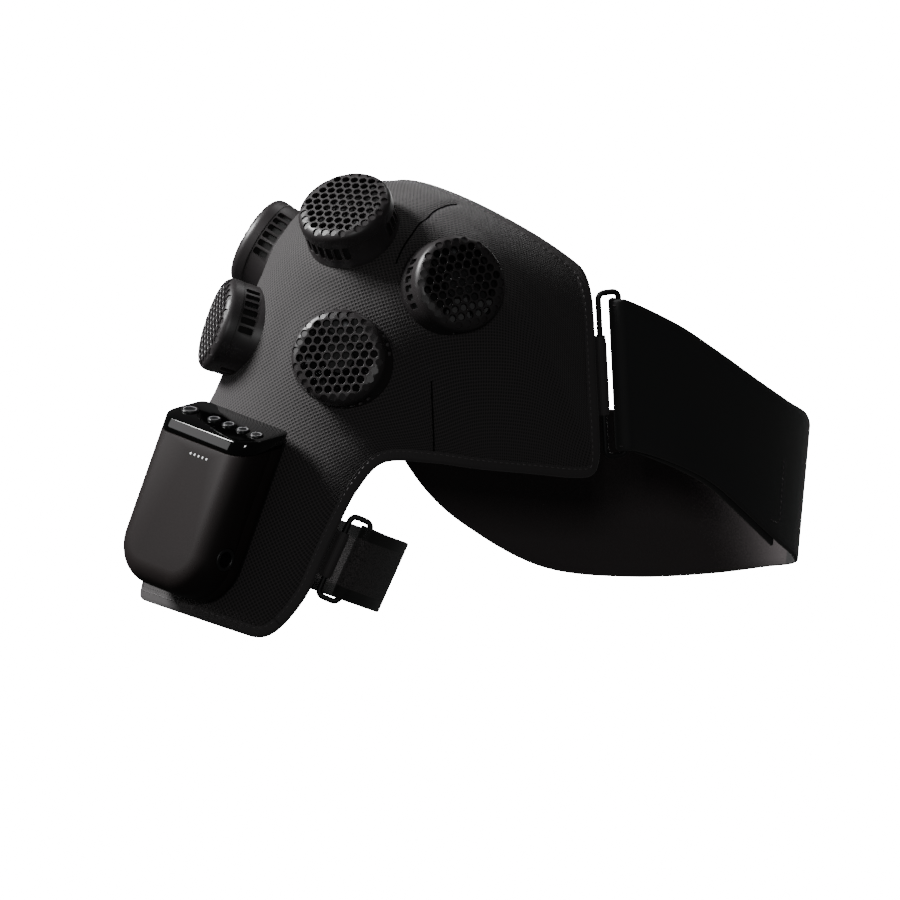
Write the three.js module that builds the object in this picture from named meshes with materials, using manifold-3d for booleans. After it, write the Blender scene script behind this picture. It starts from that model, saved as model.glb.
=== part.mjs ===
// Shoulder wrap for hot and cold therapy, in millimetres, +Z up.
// The origin is the centre of the wearer's shoulder joint. -Y is the wearer's front, -X the outer side of
// the arm and +X the neck. The wrap is a soft shell over the shoulder with five fan-cooled thermal pods, a
// battery and control pack on the arm panel, a wide chest strap and a narrow arm strap.
import * as THREE from "three";
import { mergeGeometries, mergeVertices } from "three/addons/utils/BufferGeometryUtils.js";
import Module from "manifold-3d";

const wasm = await Module();
wasm.setup();

// Clearances
const GAP = 0.3; // between pieces that touch
const RUNNING_GAP = 0.3; // round shafts and bars that turn
const OVERRUN = 1; // what a cutter runs past a face

// Facets: how finely round shapes are drawn
const CAP_SIDES = 18;
const PLATE_SIDES = 16;
const HUB_SIDES = 9;
const FRAME_HUB_SIDES = 9;
const SHAFT_SIDES = 6;
const BAR_SIDES = 6;
const KEEPER_SIDES = 12;
const BUTTON_SIDES = 12;
const SOCKET_SIDES = 12;
const CELL_SIDES = 12;
const LIGHT_SIDES = 6;
const GRILLE_HOLE_SIDES = 6;
const ARC_SEGMENTS = 4;
const FOOT_SEGMENTS = 5;
const RING_CORNER_STEPS = 2;
const BAR_TURN_STEPS = 6;
const ARM_STRAP_STEPS = 12;
const ARM_STRAP_ROWS = 2;
const CHEST_STRAP_ROWS = 3;
const NEAREST_STEPS = 6; // to find the place on the fabric nearest to a point
const STEP_SHARE = 0.01; // of a ridge place, for the fabric's directions

// Wrap: three sizes that its outline follows
const ARM_REACH = 128; // joint to the hem's ridge, outwards
const FLAP_DEPTH = 95; // joint to the lower corner of a flap, forwards or backwards
const NECK_RISE = 82; // joint to the top of the ridge
const SHELL_THICK = 4;
const LINER_THICK = 2;
const BINDING_WIDTH = 6;
const BINDING_GAP = 0.8; // between the tape and the fabric it grips
const BINDING_PROUD = 0.4; // how far the tape stands above the fabric
const HEM_CORNER = 20;
const NECK_CORNER = 9;

// Ridge over the arm and shoulder: shares of the reach, the flap depth and the rise
const ridgeShares = [
  [-0.995, 0.095, -1.38],
  [-0.927, 0.095, -1.12],
  [-0.852, 0.084, -0.873],
  [-0.777, 0.074, -0.617],
  [-0.703, 0.053, -0.362],
  [-0.629, 0.032, -0.091],
  [-0.531, 0.011, 0.244],
  [-0.391, 0, 0.659],
  [-0.203, 0, 0.902],
  [-0.086, 0, 0.976],
  [-0.016, 0, 0.99],
  [0.031, 0, 0.998],
  [0.086, 0, 1.0],
  [0.148, 0, 0.998],
  [0.211, 0, 0.984],
  [0.27, 0, 0.963],
];
// Edge of the front half: arm panel, notch under the arm, flap bottom, flap side
const frontEdgeShares = [
  [-0.82, -0.475, -1.505],
  [-0.742, -0.505, -1.25],
  [-0.668, -0.526, -1.006],
  [-0.594, -0.553, -0.78],
  [-0.516, -0.584, -0.573],
  [-0.414, -0.637, -0.421],
  [-0.242, -0.737, -0.451],
  [-0.055, -0.842, -0.524],
  [0.18, -0.926, -0.61],
  [0.344, -0.979, -0.671],
  [0.433, -1.0, -0.677],
  [0.472, -1.0, -0.585],
  [0.478, -0.989, -0.366],
  [0.478, -0.968, -0.061],
  [0.494, -0.926, 0.244],
  [0.53, -0.845, 0.53],
];
// Edge of the back half: only its depths differ, because the arm hangs a little back
const backEdgeDepthShares = [
  0.7, 0.705, 0.7, 0.7, 0.695, 0.705, 0.758, 0.842, 0.926, 0.979, 1.0, 1.0, 0.989, 0.968, 0.926, 0.842,
];
// Direction in which the fabric runs off its front edge
const arrivalShares = [
  [0.68, -0.67, -0.3],
  [0.69, -0.65, -0.31],
  [0.71, -0.63, -0.32],
  [0.73, -0.6, -0.33],
  [0.72, -0.55, -0.43],
  [0.45, -0.45, -0.77],
  [0.12, -0.2, -0.97],
  [0, -0.08, -1],
  [0.1, -0.06, -0.99],
  [0.22, -0.09, -0.97],
  [0.31, -0.12, -0.94],
  [0.35, -0.15, -0.92],
  [0.38, -0.19, -0.91],
  [0.42, -0.25, -0.87],
  [0.46, -0.38, -0.8],
  [0.45, -0.6, -0.66],
];
// How full each cross-section is at the ridge and at its edge, as shares of its chord
const fullnessShares = [
  [0.35, 0.35],
  [0.35, 0.35],
  [0.35, 0.35],
  [0.35, 0.35],
  [0.36, 0.36],
  [0.37, 0.38],
  [0.38, 0.42],
  [0.4, 0.46],
  [0.41, 0.47],
  [0.42, 0.46],
  [0.43, 0.45],
  [0.44, 0.44],
  [0.45, 0.42],
  [0.44, 0.38],
  [0.4, 0.34],
  [0.34, 0.33],
];
// Where the fabric's facets lie along the ridge, in ridge places, and from ridge to edge
const columnShares = [
  0, 0.5, 1.5, 2.7, 4, 4.7, 5.4, 6.3, 7.2, 8.1, 9, 9.8, 10.5, 11.2, 12.5, 13.8, 14.6, 15,
];
const rowShares = [-1, -0.85, -0.63, -0.42, -0.21, 0, 0.21, 0.42, 0.63, 0.85, 1];

// Pods
const CAP_RADIUS = 24;
const CAP_RISE = 18.5; // from the fabric to the grille face
const CAP_SKIRT = 6.5; // into the fabric
const CAP_WALL = 1.6;
const CAP_ROUND = 4.5;
const GRILLE_RINGS = 3;
const GRILLE_CLIP_SHARE = 0.93;
const GRILLE_PITCH = 5.9;
const GRILLE_HOLE_RADIUS = 2.5;
const VENT_WIDTH = 3.3;
const VENT_HEIGHT = 6.5;
const VENT_BASE = 1.2; // from the fabric to the vent's lower end
const VENT_PITCH = 11.3; // degrees
const VENT_GROUPS = 3;
const VENTS_PER_GROUP = 6;
const PLATE_RADIUS = 21.5;
const PLATE_THICK = 2.5;
const PLATE_DROP = 8; // from the fabric's face to the plate's skin side
const PELTIER_SIDE = 30;
const PELTIER_THICK = 3.4;
const SINK_SIDE = 30;
const SINK_BASE = 2;
const SINK_FINS = 7;
const FIN_THICK = 1.2;
const FIN_HEIGHT = 5.5;
const FRAME_THICK = 2;
const FRAME_RIM = 1.8;
const FRAME_HUB_RADIUS = 6;
const SPOKE_WIDTH = 2.4;
const SPOKES = 3;
const SHAFT_RADIUS = 1.5;
const SHAFT_LENGTH = 5;
const ROTOR_HUB_RADIUS = 8;
const ROTOR_HUB_HEIGHT = 6.4;
const ROTOR_RADIUS = 20.2;
const BLADES = 7;
const BLADE_CHORD = 9.5;
const BLADE_THICK = 1;
const BLADE_PITCH = 32; // degrees
const BLADE_TWIST = 10; // degrees less at the tip

// Where each pod sits: place along the ridge, share of the way to the edge, how its seat leans towards the
// neck and the front (as shares of its normal), and the turn of its vents in degrees
const podShares = [
  { along: 7.81, across: 0.06, lean: [0.09, 0], turn: 20 },
  { along: 7.84, across: -0.53, lean: [0.08, 0.12], turn: 60 },
  { along: 5.97, across: -0.35, lean: [-0.05, 0], turn: 80 },
  { along: 6.04, across: 0.37, lean: [0.05, -0.1], turn: 30 },
  { along: 7.93, across: 0.43, lean: [0.13, 0.08], turn: 60 },
];

// Pack: x runs towards the wearer's back, y outwards, z up the arm
const PACK_WIDTH = 65;
const PACK_HEIGHT = 95;
const PACK_DEPTH = 28;
const PACK_FRONT_ROUND = 11;
const PACK_BACK_ROUND = 4;
const PACK_BOTTOM_ROUND = 22;
const PACK_FOOT_ROUND = 9;
const PACK_WALL = 2;
const PACK_SLOPE = 25; // degrees the control panel falls towards the front
const PACK_PLACE = 2.47; // along the ridge
const PACK_SHIFT = 3; // off the ridge, towards the wearer's front
const PACK_STANDOFF = 0.5; // from the wrap to the backing plate
const PACK_TURN = 2; // degrees towards the wearer's front
const PANEL_THICK = 6.5;
const PANEL_SKIN = 1.8; // thickness of its face
const REAR_SHELL_DEPTH = 9;
const BACKING_THICK = 2.5;
const BACKING_MARGIN = 4;
const buttonShares = [0.75, 0.195, -0.135, -0.455, -0.763]; // across half the pack's width
const BUTTON_RADIUS = 3.5;
const POWER_BUTTON_RADIUS = 4.6;
const BUTTON_ROW_SHIFT = 1; // from the panel's middle towards its lower edge
const BUTTON_PROUD = 0.9;
const BUTTON_TRAVEL = 0.6;
const BUTTON_FLANGE = 0.8;
const BUTTON_FLANGE_THICK = 1;
const SWITCH_BOARD_THICK = 1.2;
const SWITCH_BOARD_MARGIN = 6.5;
const CELL_RADIUS = 9.2;
const CELL_GAP = 0.6;
const CELL_LIFT = 2.5; // above the pack's floor
const CELL_TOP_ROOM = 25.5; // over the cells, for the panel and its switches
const CELL_LENGTH = PACK_HEIGHT - PACK_WALL - CELL_LIFT - CELL_TOP_ROOM;
const BOARD_WIDTH = 36;
const BOARD_THICK = 1.6;
const LIGHT_RADIUS = 0.8;
const LIGHT_PITCH = 2.9;
const LIGHTS = 5;
const LIGHT_SHIFT_SHARE = 1.5; // of their pitch, off the pack's middle
const LIGHT_DROP = 6; // below the panel's lower edge
const SOCKET_RADIUS = 4;
const SOCKET_DEPTH = 9;
const SOCKET_HEIGHT = 25; // above the pack's foot
const SOCKET_PIN_RADIUS = 0.8;

// Rings and webbing
const BAR = 3; // thickness of a ring's bars
const RING_REACH = 11; // between the centres of its long bars
const RING_CORNER = 3.2;
const BAR_PLAY = 1.3; // slack of a strap's fold, in which its ring swings
const CHEST_RING_LENGTH = 86;
const ARM_RING_LENGTH = 46;
const KEEPER_THICK = 1.4;
const KEEPER_REACH = 14; // under the wrap
const KEEPER_GAP = 0.9; // under the tape, for the bow of the edge
const KEEPER_LEAN = 6; // degrees, with the wrap's curve
const STRAP_GAP = 0.8; // between a strap's sewn end and the wrap
const BAR_OFFSET = 4.6; // from the wrap's edge to the near bar
const BAR_DROP = 5; // from the wrap's face to the near bar
const CHEST_KEEPER_LENGTH = 40;
const ARM_KEEPER_LENGTH = 24;
const CHEST_RING_PLACE = 12.95;
const ARM_RING_PLACE = 2.3;

// Chest strap: half an oval in plan from the ring round to the back flap
const CHEST_STRAP_THICK = 2.4;
const CHEST_STRAP_REACH = 197;
const CHEST_STRAP_UNIT = 100; // what its height shares follow
const CHEST_TURNBACK_STEPS = 4;
const CHEST_WING_OVERLAP = 12;
const CHEST_WING_PLACES = [14.1, 10.7]; // top and foot of its sewn end, along the back flap's edge
// Heights of its two edges from the ring round to the back flap
const chestTopShares = [
  0.31, 0.18, -0.02, -0.25, -0.52, -0.73, -0.86, -0.91, -0.88, -0.78, -0.6, -0.3, 0.0, 0.26,
];
const chestFootShares = [
  -0.46, -0.6, -0.78, -1.03, -1.28, -1.45, -1.59, -1.69, -1.77, -1.78, -1.68, -1.42, -1.13, -0.9,
];
const chestAngles = [-90, -80, -70, -59, -46, -33, -17, 0, 20, 40, 58, 72, 82, 90];

// Arm strap: half a circle round the inner side of the arm
const ARM_STRAP_WIDTH = 38;
const ARM_STRAP_THICK = 1.8;
const ARM_STRAP_RADIUS = 66;
const ARM_TURNBACK_STEPS = 2;
const ARM_STRAP_OVERLAP = 12;
const ARM_WING_SHARE = 0.5; // half its sewn end, in ridge places
const CHEST_LEAVE = 18; // degrees the strap leaves its ring towards the wearer
const ARM_LEAVE = 40;

const FABRIC = new THREE.MeshStandardMaterial({ color: "#1b1b1d", roughness: 0.9, metalness: 0 });
const LINING = new THREE.MeshStandardMaterial({ color: "#232325", roughness: 0.95, metalness: 0 });
const TAPE = new THREE.MeshStandardMaterial({ color: "#141416", roughness: 0.8, metalness: 0 });
const NEOPRENE = new THREE.MeshStandardMaterial({ color: "#0d0d0f", roughness: 0.85, metalness: 0 });
const ELASTIC = new THREE.MeshStandardMaterial({ color: "#171718", roughness: 0.9, metalness: 0 });
const NYLON = new THREE.MeshStandardMaterial({ color: "#0b0b0c", roughness: 0.5, metalness: 0 });
const MATT_SHELL = new THREE.MeshStandardMaterial({ color: "#161617", roughness: 0.5, metalness: 0 });
const SOFT_SHELL = new THREE.MeshStandardMaterial({ color: "#1a1819", roughness: 0.55, metalness: 0 });
const GLOSS_PANEL = new THREE.MeshStandardMaterial({ color: "#050505", roughness: 0.1, metalness: 0 });
const BUTTON_GREY = new THREE.MeshStandardMaterial({ color: "#3a3a3c", roughness: 0.4, metalness: 0 });
const LIGHT_PIPE = new THREE.MeshStandardMaterial({ color: "#f2f4f6", roughness: 0.3, metalness: 0 });
const FAN_BLACK = new THREE.MeshStandardMaterial({ color: "#101011", roughness: 0.45, metalness: 0 });
const ALUMINIUM = new THREE.MeshStandardMaterial({ color: "#a9abad", roughness: 0.4, metalness: 1 });
const CERAMIC = new THREE.MeshStandardMaterial({ color: "#e6e4de", roughness: 0.6, metalness: 0 });
const BOARD_GREEN = new THREE.MeshStandardMaterial({ color: "#123a24", roughness: 0.5, metalness: 0 });
const CELL_WRAP = new THREE.MeshStandardMaterial({ color: "#2b5f7d", roughness: 0.4, metalness: 0 });
const BRASS = new THREE.MeshStandardMaterial({ color: "#a08850", roughness: 0.35, metalness: 1 });

const radians = THREE.MathUtils.degToRad;
const wrap = new THREE.Group();

function addMesh(parent, name, geometry, material) {
  const mesh = new THREE.Mesh(geometry, material);
  mesh.name = name;
  parent.add(mesh);
  return mesh;
}

// Solids: a closed geometry becomes a manifold, and back again

function toSolid(geometry) {
  const bare = new THREE.BufferGeometry();
  bare.setAttribute("position", geometry.getAttribute("position").clone());
  if (geometry.index) bare.setIndex(geometry.index.clone());
  const merged = mergeVertices(bare, 1e-4);
  const mesh = new wasm.Mesh({
    numProp: 3,
    vertProperties: new Float32Array(merged.getAttribute("position").array),
    triVerts: new Uint32Array(merged.index.array),
  });
  return new wasm.Manifold(mesh);
}

function toGeometry(solid) {
  const mesh = solid.getMesh();
  const geometry = new THREE.BufferGeometry();
  geometry.setAttribute("position", new THREE.BufferAttribute(new Float32Array(mesh.vertProperties), 3));
  geometry.setIndex(new THREE.BufferAttribute(new Uint32Array(mesh.triVerts), 1));
  geometry.computeVertexNormals();
  return geometry;
}

function cut(body, ...cutters) {
  return cutters.reduce((left, cutter) => left.subtract(toSolid(cutter)), toSolid(body));
}

function join(...pieces) {
  return pieces.map(toSolid).reduce((sum, piece) => sum.add(piece));
}

// A revolved piece about Z from a profile of [radius, height] points that starts and ends on the axis
function revolve(profile, sides) {
  const geometry = new THREE.LatheGeometry(profile.map(([r, z]) => new THREE.Vector2(r, z)), sides);
  geometry.rotateX(Math.PI / 2);
  return geometry;
}

// A prism along Z between two heights
function prism(shape, low, high, segments = ARC_SEGMENTS) {
  const options = { depth: high - low, bevelEnabled: false, curveSegments: segments };
  const geometry = new THREE.ExtrudeGeometry(shape, options);
  geometry.translate(0, 0, low);
  return geometry;
}

// An upright cylinder between two heights
function rod(radius, low, high, sides) {
  const geometry = new THREE.CylinderGeometry(radius, radius, high - low, sides);
  geometry.rotateX(Math.PI / 2);
  geometry.translate(0, 0, (low + high) / 2);
  return geometry;
}

function block(width, depth, low, high) {
  const geometry = new THREE.BoxGeometry(width, depth, high - low);
  geometry.translate(0, 0, (low + high) / 2);
  return geometry;
}

// A ring-shaped or open block of points: rows of sections, each a closed loop of points
function loftClosed(sections, endless) {
  const loop = sections[0].length;
  const points = [];
  const faces = [];
  for (const section of sections) {
    for (const point of section) points.push(point.x, point.y, point.z);
  }
  const spans = endless ? sections.length : sections.length - 1;
  for (let i = 0; i < spans; i += 1) {
    const a = i * loop;
    const b = ((i + 1) % sections.length) * loop;
    for (let j = 0; j < loop; j += 1) {
      const k = (j + 1) % loop;
      faces.push(a + j, a + k, b + j, a + k, b + k, b + j);
    }
  }
  if (!endless) {
    const last = (sections.length - 1) * loop;
    for (let j = 1; j < loop - 1; j += 1) {
      faces.push(0, j + 1, j);
      faces.push(last, last + j, last + j + 1);
    }
  }
  return closedGeometry(points, faces);
}

// Makes a geometry whose faces point outwards
function closedGeometry(points, faces) {
  const geometry = new THREE.BufferGeometry();
  geometry.setAttribute("position", new THREE.Float32BufferAttribute(points, 3));
  geometry.setIndex(signedVolume(points, faces) < 0 ? flipped(faces) : faces);
  geometry.computeVertexNormals();
  return geometry;
}

function signedVolume(points, faces) {
  const corner = (i) => new THREE.Vector3(points[3 * i], points[3 * i + 1], points[3 * i + 2]);
  let sum = 0;
  for (let i = 0; i < faces.length; i += 3) {
    sum += corner(faces[i]).dot(corner(faces[i + 1]).cross(corner(faces[i + 2])));
  }
  return sum / 6;
}

function flipped(faces) {
  const turned = [];
  for (let i = 0; i < faces.length; i += 3) turned.push(faces[i], faces[i + 2], faces[i + 1]);
  return turned;
}

// A closed slab between two grids of points of the same size
function slab(outer, inner) {
  const rows = outer.length;
  const columns = outer[0].length;
  const points = [];
  const faces = [];
  for (const grid of [outer, inner]) {
    for (const row of grid) {
      for (const point of row) points.push(point.x, point.y, point.z);
    }
  }
  const last = columns - 1;
  const at = (layer, i, j) => layer * rows * columns + i * columns + j;
  const quad = (a, b, c, d) => faces.push(a, b, c, a, c, d);
  for (let i = 0; i < rows - 1; i += 1) {
    for (let j = 0; j < columns - 1; j += 1) {
      quad(at(0, i, j), at(0, i, j + 1), at(0, i + 1, j + 1), at(0, i + 1, j));
      quad(at(1, i, j), at(1, i + 1, j), at(1, i + 1, j + 1), at(1, i, j + 1));
    }
  }
  for (let i = 0; i < rows - 1; i += 1) {
    quad(at(0, i, 0), at(0, i + 1, 0), at(1, i + 1, 0), at(1, i, 0));
    quad(at(0, i, last), at(1, i, last), at(1, i + 1, last), at(0, i + 1, last));
  }
  for (let j = 0; j < columns - 1; j += 1) {
    quad(at(0, 0, j), at(1, 0, j), at(1, 0, j + 1), at(0, 0, j + 1));
    quad(at(0, rows - 1, j), at(0, rows - 1, j + 1), at(1, rows - 1, j + 1), at(1, rows - 1, j));
  }
  return closedGeometry(points, faces);
}

// The wrap's outer surface
// A cross-section is one cubic curve from the ridge to an edge. "along" runs over the ridge places,
// "across" from -1 at the back edge through 0 on the ridge to 1 at the front edge.

const LAST_PLACE = ridgeShares.length - 1;

function smooth(table, along) {
  const place = Math.min(Math.max(along, 0), LAST_PLACE);
  const i = Math.min(Math.floor(place), LAST_PLACE - 1);
  const t = place - i;
  const at = (k) => table[Math.min(Math.max(k, 0), LAST_PLACE)];
  return at(i).map((p1, c) => {
    const p0 = at(i - 1)[c];
    const p2 = at(i + 1)[c];
    const p3 = at(i + 2)[c];
    const m1 = (p2 - p0) / 2;
    const m2 = (p3 - p1) / 2;
    const t2 = t * t;
    const t3 = t2 * t;
    return p1 * (2 * t3 - 3 * t2 + 1) + m1 * (t3 - 2 * t2 + t) + p2 * (3 * t2 - 2 * t3) + m2 * (t3 - t2);
  });
}

const backEdgeShares = frontEdgeShares.map(([x, , z], i) => [x, backEdgeDepthShares[i], z]);

function placed([x, y, z]) {
  return new THREE.Vector3(x * ARM_REACH, y * FLAP_DEPTH, z * NECK_RISE);
}

function wrapPoint(along, across) {
  const side = across < 0 ? 1 : -1;
  const ridge = placed(smooth(ridgeShares, along));
  const edge = placed(smooth(side > 0 ? backEdgeShares : frontEdgeShares, along));
  const arrival = new THREE.Vector3(...smooth(arrivalShares, along)).normalize();
  arrival.y *= -side;
  const [atRidge, atEdge] = smooth(fullnessShares, along);
  const chord = edge.distanceTo(ridge);
  const leave = new THREE.Vector3(ridge.x, ridge.y + side * atRidge * chord, ridge.z);
  const arrive = edge.clone().addScaledVector(arrival, -atEdge * chord);
  const t = Math.abs(across);
  const s = 1 - t;
  return new THREE.Vector3()
    .addScaledVector(ridge, s * s * s)
    .addScaledVector(leave, 3 * s * s * t)
    .addScaledVector(arrive, 3 * s * t * t)
    .addScaledVector(edge, t * t * t);
}

// The surface's directions and outward normal at a place
function wrapFrame(along, across) {
  const before = wrapPoint(Math.max(along - STEP_SHARE, 0), across);
  const after = wrapPoint(Math.min(along + STEP_SHARE, LAST_PLACE), across);
  const alongStep = Math.min(along + STEP_SHARE, LAST_PLACE) - Math.max(along - STEP_SHARE, 0);
  const backwards = wrapPoint(along, Math.max(across - STEP_SHARE, -1));
  const forwards = wrapPoint(along, Math.min(across + STEP_SHARE, 1));
  const acrossStep = Math.min(across + STEP_SHARE, 1) - Math.max(across - STEP_SHARE, -1);
  const alongWay = after.sub(before).divideScalar(alongStep);
  const acrossWay = forwards.sub(backwards).divideScalar(acrossStep);
  const normal = new THREE.Vector3().crossVectors(acrossWay, alongWay).normalize();
  return { point: wrapPoint(along, across), alongWay, acrossWay, normal };
}

// The edge of the wrap with its four corners rounded, as places on the surface

function cornerShares(along, radius) {
  const { alongWay, acrossWay } = wrapFrame(along, 1);
  return [radius / alongWay.length(), radius / acrossWay.length()];
}

const hemCorner = cornerShares(0, HEM_CORNER);
const neckCorner = cornerShares(LAST_PLACE, NECK_CORNER);

// One of the two long edges (side 1 or -1), from mid-corner to mid-corner
function longEdgePlace(place, side) {
  const [hemAlong, hemAcross] = hemCorner;
  const [neckAlong, neckAcross] = neckCorner;
  if (place < hemAlong) {
    const angle = radians(45 + (45 * place) / hemAlong);
    return [hemAlong * (1 - Math.cos(angle)), side * (1 - hemAcross * (1 - Math.sin(angle)))];
  }
  if (place > LAST_PLACE - neckAlong) {
    const angle = radians(45 + (45 * (LAST_PLACE - place)) / neckAlong);
    const out = 1 - neckAcross * (1 - Math.sin(angle));
    return [LAST_PLACE - neckAlong * (1 - Math.cos(angle)), side * out];
  }
  return [place, side];
}

// One of the two end edges (the hem or the neck edge), from the back corner to the front corner
function endEdgePlace(across, atNeck) {
  const [cornerAlong, cornerAcross] = atNeck ? neckCorner : hemCorner;
  const straight = 1 - cornerAcross;
  const size = Math.abs(across);
  const side = Math.sign(across);
  let along = 0;
  let out = size;
  if (size > straight) {
    const angle = radians((45 * (size - straight)) / cornerAcross);
    along = cornerAlong * (1 - Math.cos(angle));
    out = straight + cornerAcross * Math.sin(angle);
  }
  return [atNeck ? LAST_PLACE - along : along, side * out];
}

// The place on the fabric nearest to a point, found from a place close by
function nearestPlace(target, start) {
  let [along, across] = start;
  for (let step = 0; step < NEAREST_STEPS; step += 1) {
    const { point, alongWay, acrossWay } = wrapFrame(along, across);
    const off = target.clone().sub(point);
    const a = alongWay.dot(alongWay);
    const b = alongWay.dot(acrossWay);
    const c = acrossWay.dot(acrossWay);
    const p = off.dot(alongWay);
    const q = off.dot(acrossWay);
    const d = a * c - b * b;
    along += (p * c - q * b) / d;
    across += (q * a - p * b) / d;
  }
  return [along, across];
}

// The edge loop, as places: front edge, neck edge, back edge, hem
const lastColumn = columnShares.length - 1;
const lastRow = rowShares.length - 1;

function edgeLoop() {
  const loop = [];
  for (let i = 0; i < lastColumn; i += 1) loop.push(longEdgePlace(columnShares[i], 1));
  for (let j = lastRow; j > 0; j -= 1) loop.push(endEdgePlace(rowShares[j], true));
  for (let i = lastColumn; i > 0; i -= 1) loop.push(longEdgePlace(columnShares[i], -1));
  for (let j = 0; j < lastRow; j += 1) loop.push(endEdgePlace(rowShares[j], false));
  return loop;
}

// Each edge place with its point, outward normal and the way into the fabric
function edgeFrames() {
  const loop = edgeLoop();
  const frames = loop.map(([along, across]) => ({ place: [along, across], ...wrapFrame(along, across) }));
  return frames.map((frame, i) => {
    const before = frames[(i + frames.length - 1) % frames.length].point;
    const after = frames[(i + 1) % frames.length].point;
    const tangent = after.clone().sub(before).normalize();
    const inwards = new THREE.Vector3().crossVectors(frame.normal, tangent).normalize();
    return { ...frame, tangent, inwards };
  });
}

const edges = edgeFrames();

// The fabric's grid of places, inside the binding
function fabricPlaces(inset) {
  const ring = edges.map(({ place, point, inwards }) => {
    return nearestPlace(point.clone().addScaledVector(inwards, inset), place);
  });
  const columns = lastColumn;
  const rows = lastRow;
  const front = (i) => ring[i];
  const neck = (j) => ring[columns + (rows - j)];
  const back = (i) => ring[(columns + rows + (columns - i)) % ring.length];
  const hem = (j) => ring[(2 * columns + rows + j) % ring.length];
  const places = [];
  for (let i = 0; i <= columns; i += 1) {
    const row = [];
    const s = columnShares[i] / LAST_PLACE;
    for (let j = 0; j <= rows; j += 1) {
      const t = (rowShares[j] + 1) / 2;
      row.push(
        [0, 1].map((c) => {
          const ends = (1 - s) * hem(j)[c] + s * neck(j)[c];
          const sides = (1 - t) * back(i)[c] + t * front(i)[c];
          const low = (1 - t) * hem(0)[c] + t * hem(rows)[c];
          const high = (1 - t) * neck(0)[c] + t * neck(rows)[c];
          return ends + sides - (1 - s) * low - s * high;
        }),
      );
    }
    places.push(row);
  }
  return places;
}

// A layer of fabric between two depths below the outer surface
function fabricLayer(places, top, bottom) {
  const grids = [top, bottom].map((depth) =>
    places.map((row) =>
      row.map(([along, across]) => {
        const { point, normal } = wrapFrame(along, across);
        return point.addScaledVector(normal, -depth);
      }),
    ),
  );
  return slab(grids[0], grids[1]);
}

const STACK = SHELL_THICK + GAP + LINER_THICK;

function bindingGeometry() {
  const width = BINDING_WIDTH;
  const round = width / 4;
  const sections = edges.map(({ point, normal, inwards }) => {
    const at = (inward, depth) => {
      return point.clone().addScaledVector(inwards, inward).addScaledVector(normal, -depth);
    };
    return [
      at(width, -BINDING_PROUD),
      at(round, -BINDING_PROUD),
      at(0, STACK / 4),
      at(0, STACK - STACK / 4),
      at(round, STACK + BINDING_PROUD),
      at(width, STACK + BINDING_PROUD),
    ];
  });
  return loftClosed(sections, true);
}

// Pods. In a pod's own frame z runs outwards from the fabric's surface.

function podFrame({ along, across, lean, turn }) {
  const { point, alongWay, acrossWay, normal } = wrapFrame(along, across);
  const z = normal.clone();
  z.addScaledVector(alongWay.clone().normalize(), lean[0]);
  z.addScaledVector(acrossWay.clone().normalize(), lean[1]);
  z.normalize();
  const y = new THREE.Vector3().crossVectors(z, acrossWay).normalize();
  const x = new THREE.Vector3().crossVectors(y, z);
  const pod = new THREE.Group();
  pod.quaternion.setFromRotationMatrix(new THREE.Matrix4().makeBasis(x, y, z));
  pod.position.copy(point);
  pod.rotateZ(radians(turn));
  return pod;
}

const pods = podShares.map(podFrame);

function podCutter(pod, radius, sides) {
  const geometry = rod(radius, -CAP_SKIRT - PLATE_DROP, CAP_RISE, sides);
  geometry.applyQuaternion(pod.quaternion);
  geometry.translate(pod.position.x, pod.position.y, pod.position.z);
  return geometry;
}

const CAP_BORE = CAP_RADIUS - CAP_WALL;
const PLATE_TOP = PLATE_THICK - PLATE_DROP;
const PELTIER_BOTTOM = PLATE_TOP + GAP;
const SINK_BOTTOM = PELTIER_BOTTOM + PELTIER_THICK + GAP;
const SINK_TOP = SINK_BOTTOM + SINK_BASE + FIN_HEIGHT;
const FRAME_BOTTOM = SINK_TOP + GAP;
const FRAME_TOP = FRAME_BOTTOM + FRAME_THICK;
const ROTOR_BOTTOM = FRAME_TOP + RUNNING_GAP;

// The hexagonal lattice of the grille, clipped to a circle
function grilleCentres() {
  const centres = [];
  for (let i = -GRILLE_RINGS; i <= GRILLE_RINGS; i += 1) {
    for (let j = -GRILLE_RINGS; j <= GRILLE_RINGS; j += 1) {
      const x = (i + j / 2) * GRILLE_PITCH;
      const y = j * Math.sin(Math.PI / 3) * GRILLE_PITCH;
      if (Math.hypot(x, y) < GRILLE_RINGS * GRILLE_PITCH * GRILLE_CLIP_SHARE) centres.push([x, y]);
    }
  }
  return centres;
}

function grilleCutter() {
  const holes = grilleCentres().map(([x, y]) => {
    const hole = rod(GRILLE_HOLE_RADIUS, CAP_RISE - CAP_WALL * 2, CAP_RISE + OVERRUN, GRILLE_HOLE_SIDES);
    hole.translate(x, y, 0);
    return hole;
  });
  return mergeGeometries(holes);
}

function ventCutter() {
  const slots = [];
  for (let group = 0; group < VENT_GROUPS; group += 1) {
    for (let k = 0; k < VENTS_PER_GROUP; k += 1) {
      const slot = block(CAP_WALL * 4, VENT_WIDTH, VENT_BASE, VENT_BASE + VENT_HEIGHT);
      slot.translate(CAP_RADIUS - CAP_WALL / 2, 0, 0);
      slot.rotateZ(radians((360 * group) / VENT_GROUPS + (k - (VENTS_PER_GROUP - 1) / 2) * VENT_PITCH));
      slots.push(slot);
    }
  }
  return mergeGeometries(slots);
}

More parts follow.
